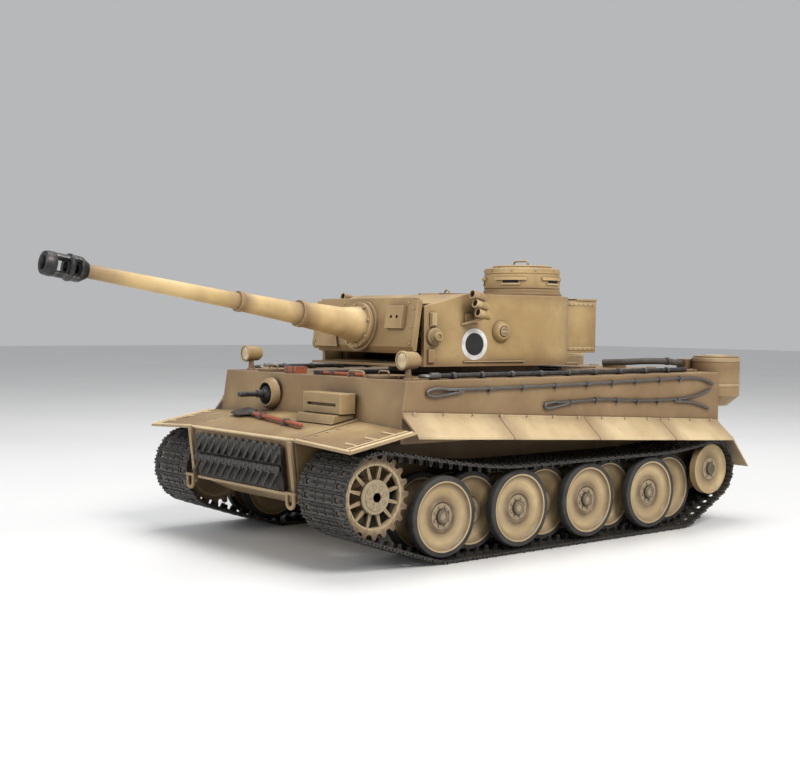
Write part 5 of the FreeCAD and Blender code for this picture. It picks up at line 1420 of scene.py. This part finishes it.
def filter_trim():
    # The can stands a little inside its bands; its bracket and nozzle stay as they are.
    can_radius, outer_radius = 17.85 * MM, 18.35 * MM
    for vertex in bpy.data.objects["air_filters_skin"].data.vertices:
        axis = mm(math.copysign(FILTER_X, vertex.co.x), FILTER_Y, 0)
        out = Vector((vertex.co.x - axis.x, vertex.co.y - axis.y, 0))
        if can_radius < out.length < outer_radius:
            vertex.co -= out * (1 - can_radius / out.length)

    def bands(bm):
        for sign in (1, -1):
            stand = upright(sign * FILTER_X, FILTER_Y, 0)
            turn_mm(bm, [(117.6, 17.6), (117.6, 18.28), (120.0, 18.28), (120.5, 17.6)], stand, 64,
                    closed=True)
            turn_mm(bm, [(99.0, 17.6), (99.0, 18.28), (101.2, 18.28), (101.2, 17.6)], stand, 64, closed=True)
            turn_mm(bm, [(121.6, 0), (121.6, 10.5), (122.4, 10.0), (122.4, 0)], stand, 48)
    piece("filter_bands", bands, HULL_PAINT, "air_filters")
    clamps = [(mm(sign * 61.5, 208, 117.4), facing((0.1 * sign, 0.8, 0.0))) for sign in (1, -1)]
    bm = bmesh.new()
    turn_mm(bm, [(-1.2, 2.3), (-1.2, 2.9), (1.2, 2.9), (1.2, 2.3)], sides=24, closed=True)
    settle(repeated("hose_clamps", to_object("clamp_item", bm, None), clamps, GUNMETAL), "filter_hoses")


# ------------------------------------------------------------ ropes and tools

def rope(name, points, radius, node, strands=6, lay=8.0):
    """Twisted wire rope along a smooth line."""
    line = spaced(smooth_line([mm(*point) for point in points]), radius * 0.55)
    bm = bmesh.new()
    sideways = Vector((0, 0, 1))
    rings = []
    count = strands * 4
    for index, point in enumerate(line):
        heading = (line[min(index + 1, len(line) - 1)] - line[max(index - 1, 0)]).normalized()
        sideways = (sideways - heading * sideways.dot(heading)).normalized()
        across = heading.cross(sideways)
        twist = 2 * math.pi * index * radius * 0.55 / (lay * radius)
        ring = []
        for k in range(count):
            angle = 2 * math.pi * k / count
            r = radius * (0.80 + 0.20 * abs(math.cos(strands * (angle - twist) / 2)))
            ring.append(bm.verts.new(point + (sideways * math.cos(angle) + across * math.sin(angle)) * r))
        rings.append(ring)
    for a, b in zip(rings, rings[1:]):
        for k in range(count):
            bm.faces.new([a[k], b[k], b[(k + 1) % count], a[(k + 1) % count]])
    bm.faces.new(rings[0])
    bm.faces.new(rings[-1][::-1])
    bmesh.ops.recalc_face_normals(bm, faces=bm.faces)
    settle(to_object(name, bm, ROPE_STEEL, 60), node)


def cables():
    z = 112.3
    for side, sign in SIDES:
        rope(f"tow_cable_{side}", [(sign * 92, -53.6, z), (sign * 92, -20, z), (sign * 93, 40, z),
                                   (sign * 93, 100, z),
                                   (sign * 91, 150, z), (sign * 88, 196, z)], 1.7 * MM, "tow_cables")

        def eye(bm):
            add_rod(bm, mm(sign * 92, -54.5, z), mm(sign * 92, -47, z), 2.15 * MM, 16)
            loop = [mm(sign * 92 + 3.4 * math.cos(a), -57.4 + 3.9 * math.sin(a), z)
                    for a in [2 * math.pi * k / 28 for k in range(28)]]
            for a, b in zip(loop, loop[1:] + loop[:1]):
                add_rod(bm, a - (b - a) * 0.3, b + (b - a) * 0.3, 1.15 * MM, 8)
        piece(f"tow_eye_{side}", eye, GUNMETAL, "tow_cables")
    x = 102.5
    rope("track_cable_upper", [(x, -49, 104.6), (x, -30, 104.2), (x, 34, 104.8), (x, 87, 105.5),
                               (x, 139, 106.4),
                               (x, 183, 107.2), (x, 200, 105.8), (x, 211, 101.6)], 0.9 * MM, "track_cable")
    rope("track_cable_loop", [(x, -36, 103.2), (x, -46, 102.0), (x, -57, 100.6), (x, -64.5, 101.4),
                              (x, -65.5, 104),
                              (x, -58, 105.6), (x, -49, 104.9), (x, -40, 104.0)], 0.85 * MM, "track_cable")
    rope("track_cable_lower", [(x, 46, 93.6), (x, 67, 94), (x, 87, 94.6), (x, 128, 92.4), (x, 161, 91.8),
                               (x, 190, 93), (x, 208, 98.5)], 0.9 * MM, "track_cable")
    rope("track_cable_small_loop", [(x, 58, 93.0), (x, 48, 91.4), (x, 38, 90.0), (x, 34.2, 91.4),
                                    (x, 36, 94),
                                    (x, 46, 94.2)], 0.8 * MM, "track_cable")
    rope("track_cable_fork", [(x, 166, 91.0), (x, 178, 90.0), (x, 192, 88.6), (x, 206, 84)], 0.85 * MM,
         "track_cable")
    clamp = bmesh.new()
    turn_mm(clamp, [(-1.3, 0.8), (-1.3, 1.35), (1.3, 1.35), (1.3, 0.8)], sides=12, closed=True)
    add_box(clamp, mm(-1.0, -2.3, -0.5), mm(1.0, -0.9, 0.5))
    turn_mm(clamp, [(-1.3, 0), (-1.3, 1.2), (0, 1.3), (0.6, 1.2), (1.3, 0)], sides=12)
    heights = ((-40, 103.8), (-14, 104.2), (15, 104.6), (45, 104.9), (75, 105.3), (100, 105.7), (124, 106.1),
               (150, 106.6), (172, 107.0), (59, 93.7), (84, 94.5), (105, 93.6), (126, 92.5), (148, 91.9),
               (170, 92.0))
    places = [(mm(x, y, z), (math.pi / 2, 0, math.pi / 2)) for y, z in heights]
    settle(repeated("cable_clamps", to_object("clamp", clamp, None), places, GUNMETAL), "cable_clips")
    band = bmesh.new()
    turn_mm(band, [(-1.3, 1.6), (-1.3, 2.15), (1.3, 2.15), (1.3, 1.6)], sides=16, closed=True)
    add_box(band, mm(-1.3, -3.0, -1.95), mm(1.3, 3.0, -1.5))
    bands = []
    for sign in (1, -1):
        for y in (-36, -12, 14, 40, 66, 92, 118, 146, 172):
            shift = 92.7 - max(0.0, (y - 100) * 0.035)
            bands.append((mm(sign * shift, y, 112.35), (0, 0, math.pi / 2)))
    settle(repeated("tow_bands", to_object("band", band, None), bands, GUNMETAL), "cable_clips")


def tools():
    """Shovel on the sloping front plate; hammer, wire cutters and jack block on the roof."""
    slope = math.atan2(10.3, 47.9)
    lying = (Matrix.Translation(mm(0, -106, 80.73)) @ Matrix.Rotation(slope, 4, "X")
             @ Matrix.Rotation(math.radians(-9), 4, "Z"))

    bm = bmesh.new()
    add_rod(bm, mm(-37, 0, 2.2), mm(41, 0, 2.2), 1.35 * MM, 16, chamfer=0.5 * MM)
    handle = seated(to_object("shovel_handle", bm, HANDLE_WOOD), lying)
    settle(handle, "hand_tools")
    bm = bmesh.new()
    outline = [(-57, -4.5), (-55.5, -6.6), (-42, -7), (-38.5, -3.4), (-36, -1.4), (-36, 1.4), (-38.5, 3.4),
               (-42, 7),
               (-55.5, 6.6), (-57, 4.5)]
    add_prism(bm, [(u * MM, v * MM) for u, v in outline], "z", 1.4 * MM, 2.7 * MM)
    add_rod(bm, mm(-40, 0, 2.3), mm(-30, 0, 2.3), 1.75 * MM, 14)
    for x in (-18, 18):
        add_box(bm, mm(x - 1.6, -2.6, 0.05), mm(x + 1.6, 2.6, 1.3))
        turn_mm(bm, [(-1.4, 1.3), (-1.4, 1.95), (1.4, 1.95), (1.4, 1.3)], Matrix.Translation(mm(x, 0, 2.2)),
                  16, closed=True)
        add_rod(bm, mm(x, 1.8, 3.2), mm(x, 3.4, 1.8), 0.6 * MM, 8)
    iron = bevelled(seated(to_object("shovel_blade", bm, GUNMETAL), lying), 0.15 * MM)
    settle(iron, "hand_tools")

    def roof_wood(bm):
        add_rod(bm, mm(4, -70.5, 111.6), mm(43.8, -67.3, 111.6), 1.2 * MM, 14, chamfer=0.4 * MM)
        add_box(bm, mm(-34, -76, 110.4), mm(-20, -67, 114.8))
    piece("roof_tool_wood", roof_wood, HANDLE_WOOD, "hand_tools", bevel=0.2 * MM)

    def roof_iron(bm):
        add_box(bm, mm(-4, -73, 110.4), mm(4.4, -68.4, 113.0))
        for x, y in ((14, -69.7), (34, -68.1)):
            add_box(bm, mm(x - 1.4, y - 2.2, 110.35), mm(x + 1.4, y + 2.2, 113.1))
        for x in (-31, -23.5):
            add_box(bm, mm(x - 0.9, -76.3, 110.35), mm(x + 0.9, -66.7, 115.1))
    piece("roof_tool_iron", roof_iron, GUNMETAL, "hand_tools", bevel=0.2 * MM)


# --------------------------------------------------------------- simple skins

def skins():
    """Pieces whose CAD shape is right: rounded edges and a finish."""
    for node, material, width in (
            ("lower_hull", HULL_PAINT, 0.5), ("upper_hull", HULL_PAINT, 0.45),
            ("engine_deck", HULL_PAINT, 0.25), ("side_skirts", SKIRT_LIT_PAINT, 0.25),
            ("mudguards", HULL_PAINT, 0.25), ("driver_visor", HULL_PAINT, 0.5),
            ("hull_gun", GUNMETAL, 0.2), ("driver_hatch", HULL_PAINT, 0.3),
            ("radio_hatch", HULL_PAINT, 0.3), ("spare_track_links", TRACK_METAL, 0.2),
            ("spare_track_brackets", HULL_PAINT, 0.2), ("tow_shackles", HULL_PAINT, 0.1),
            ("air_filters", HULL_PAINT, 0.5), ("exhausts", HULL_PAINT, 0.5),
            ("swing_arms", HULL_PAINT, 0.3), ("turret_shell", TURRET_PAINT, 0.6),
            ("turret_ring", TURRET_PAINT, 0.3), ("loader_hatch", TURRET_PAINT, 0.4),
            ("stowage_bin", TURRET_PAINT, 0.4), ("mantlet", TURRET_PAINT, 0.5),
            ("gun_barrel", GUN_PAINT, 0.25), ("gearboxes", BLACK_PLASTIC, 0.4),
            ("turret_drive", BLACK_PLASTIC, 0.3), ("speaker", BLACK_PLASTIC, 0.3),
            ("battery_pack", BATTERY_WRAP, 1.2), ("control_board", BOARD_GREEN, 0.2),
            ("filter_hoses", HOSE_RUBBER, 0.0)):
        item = cad_copy(node, f"{node}_skin", material)
        settle(bevelled(item, width * MM), node)


stage()
camera()
tracks()
road_wheels()
sprockets()
idlers()
skins()
muzzle_brake()
barrel_details()
mantlet_details()
cupola()
hatches()
dischargers()
fittings()
round_marks()
bin_trim()
hull_gun_details()
headlamps()
side_trim()
guard_trim()
spare_links()
roof_details()
filter_trim()
cables()
tools()
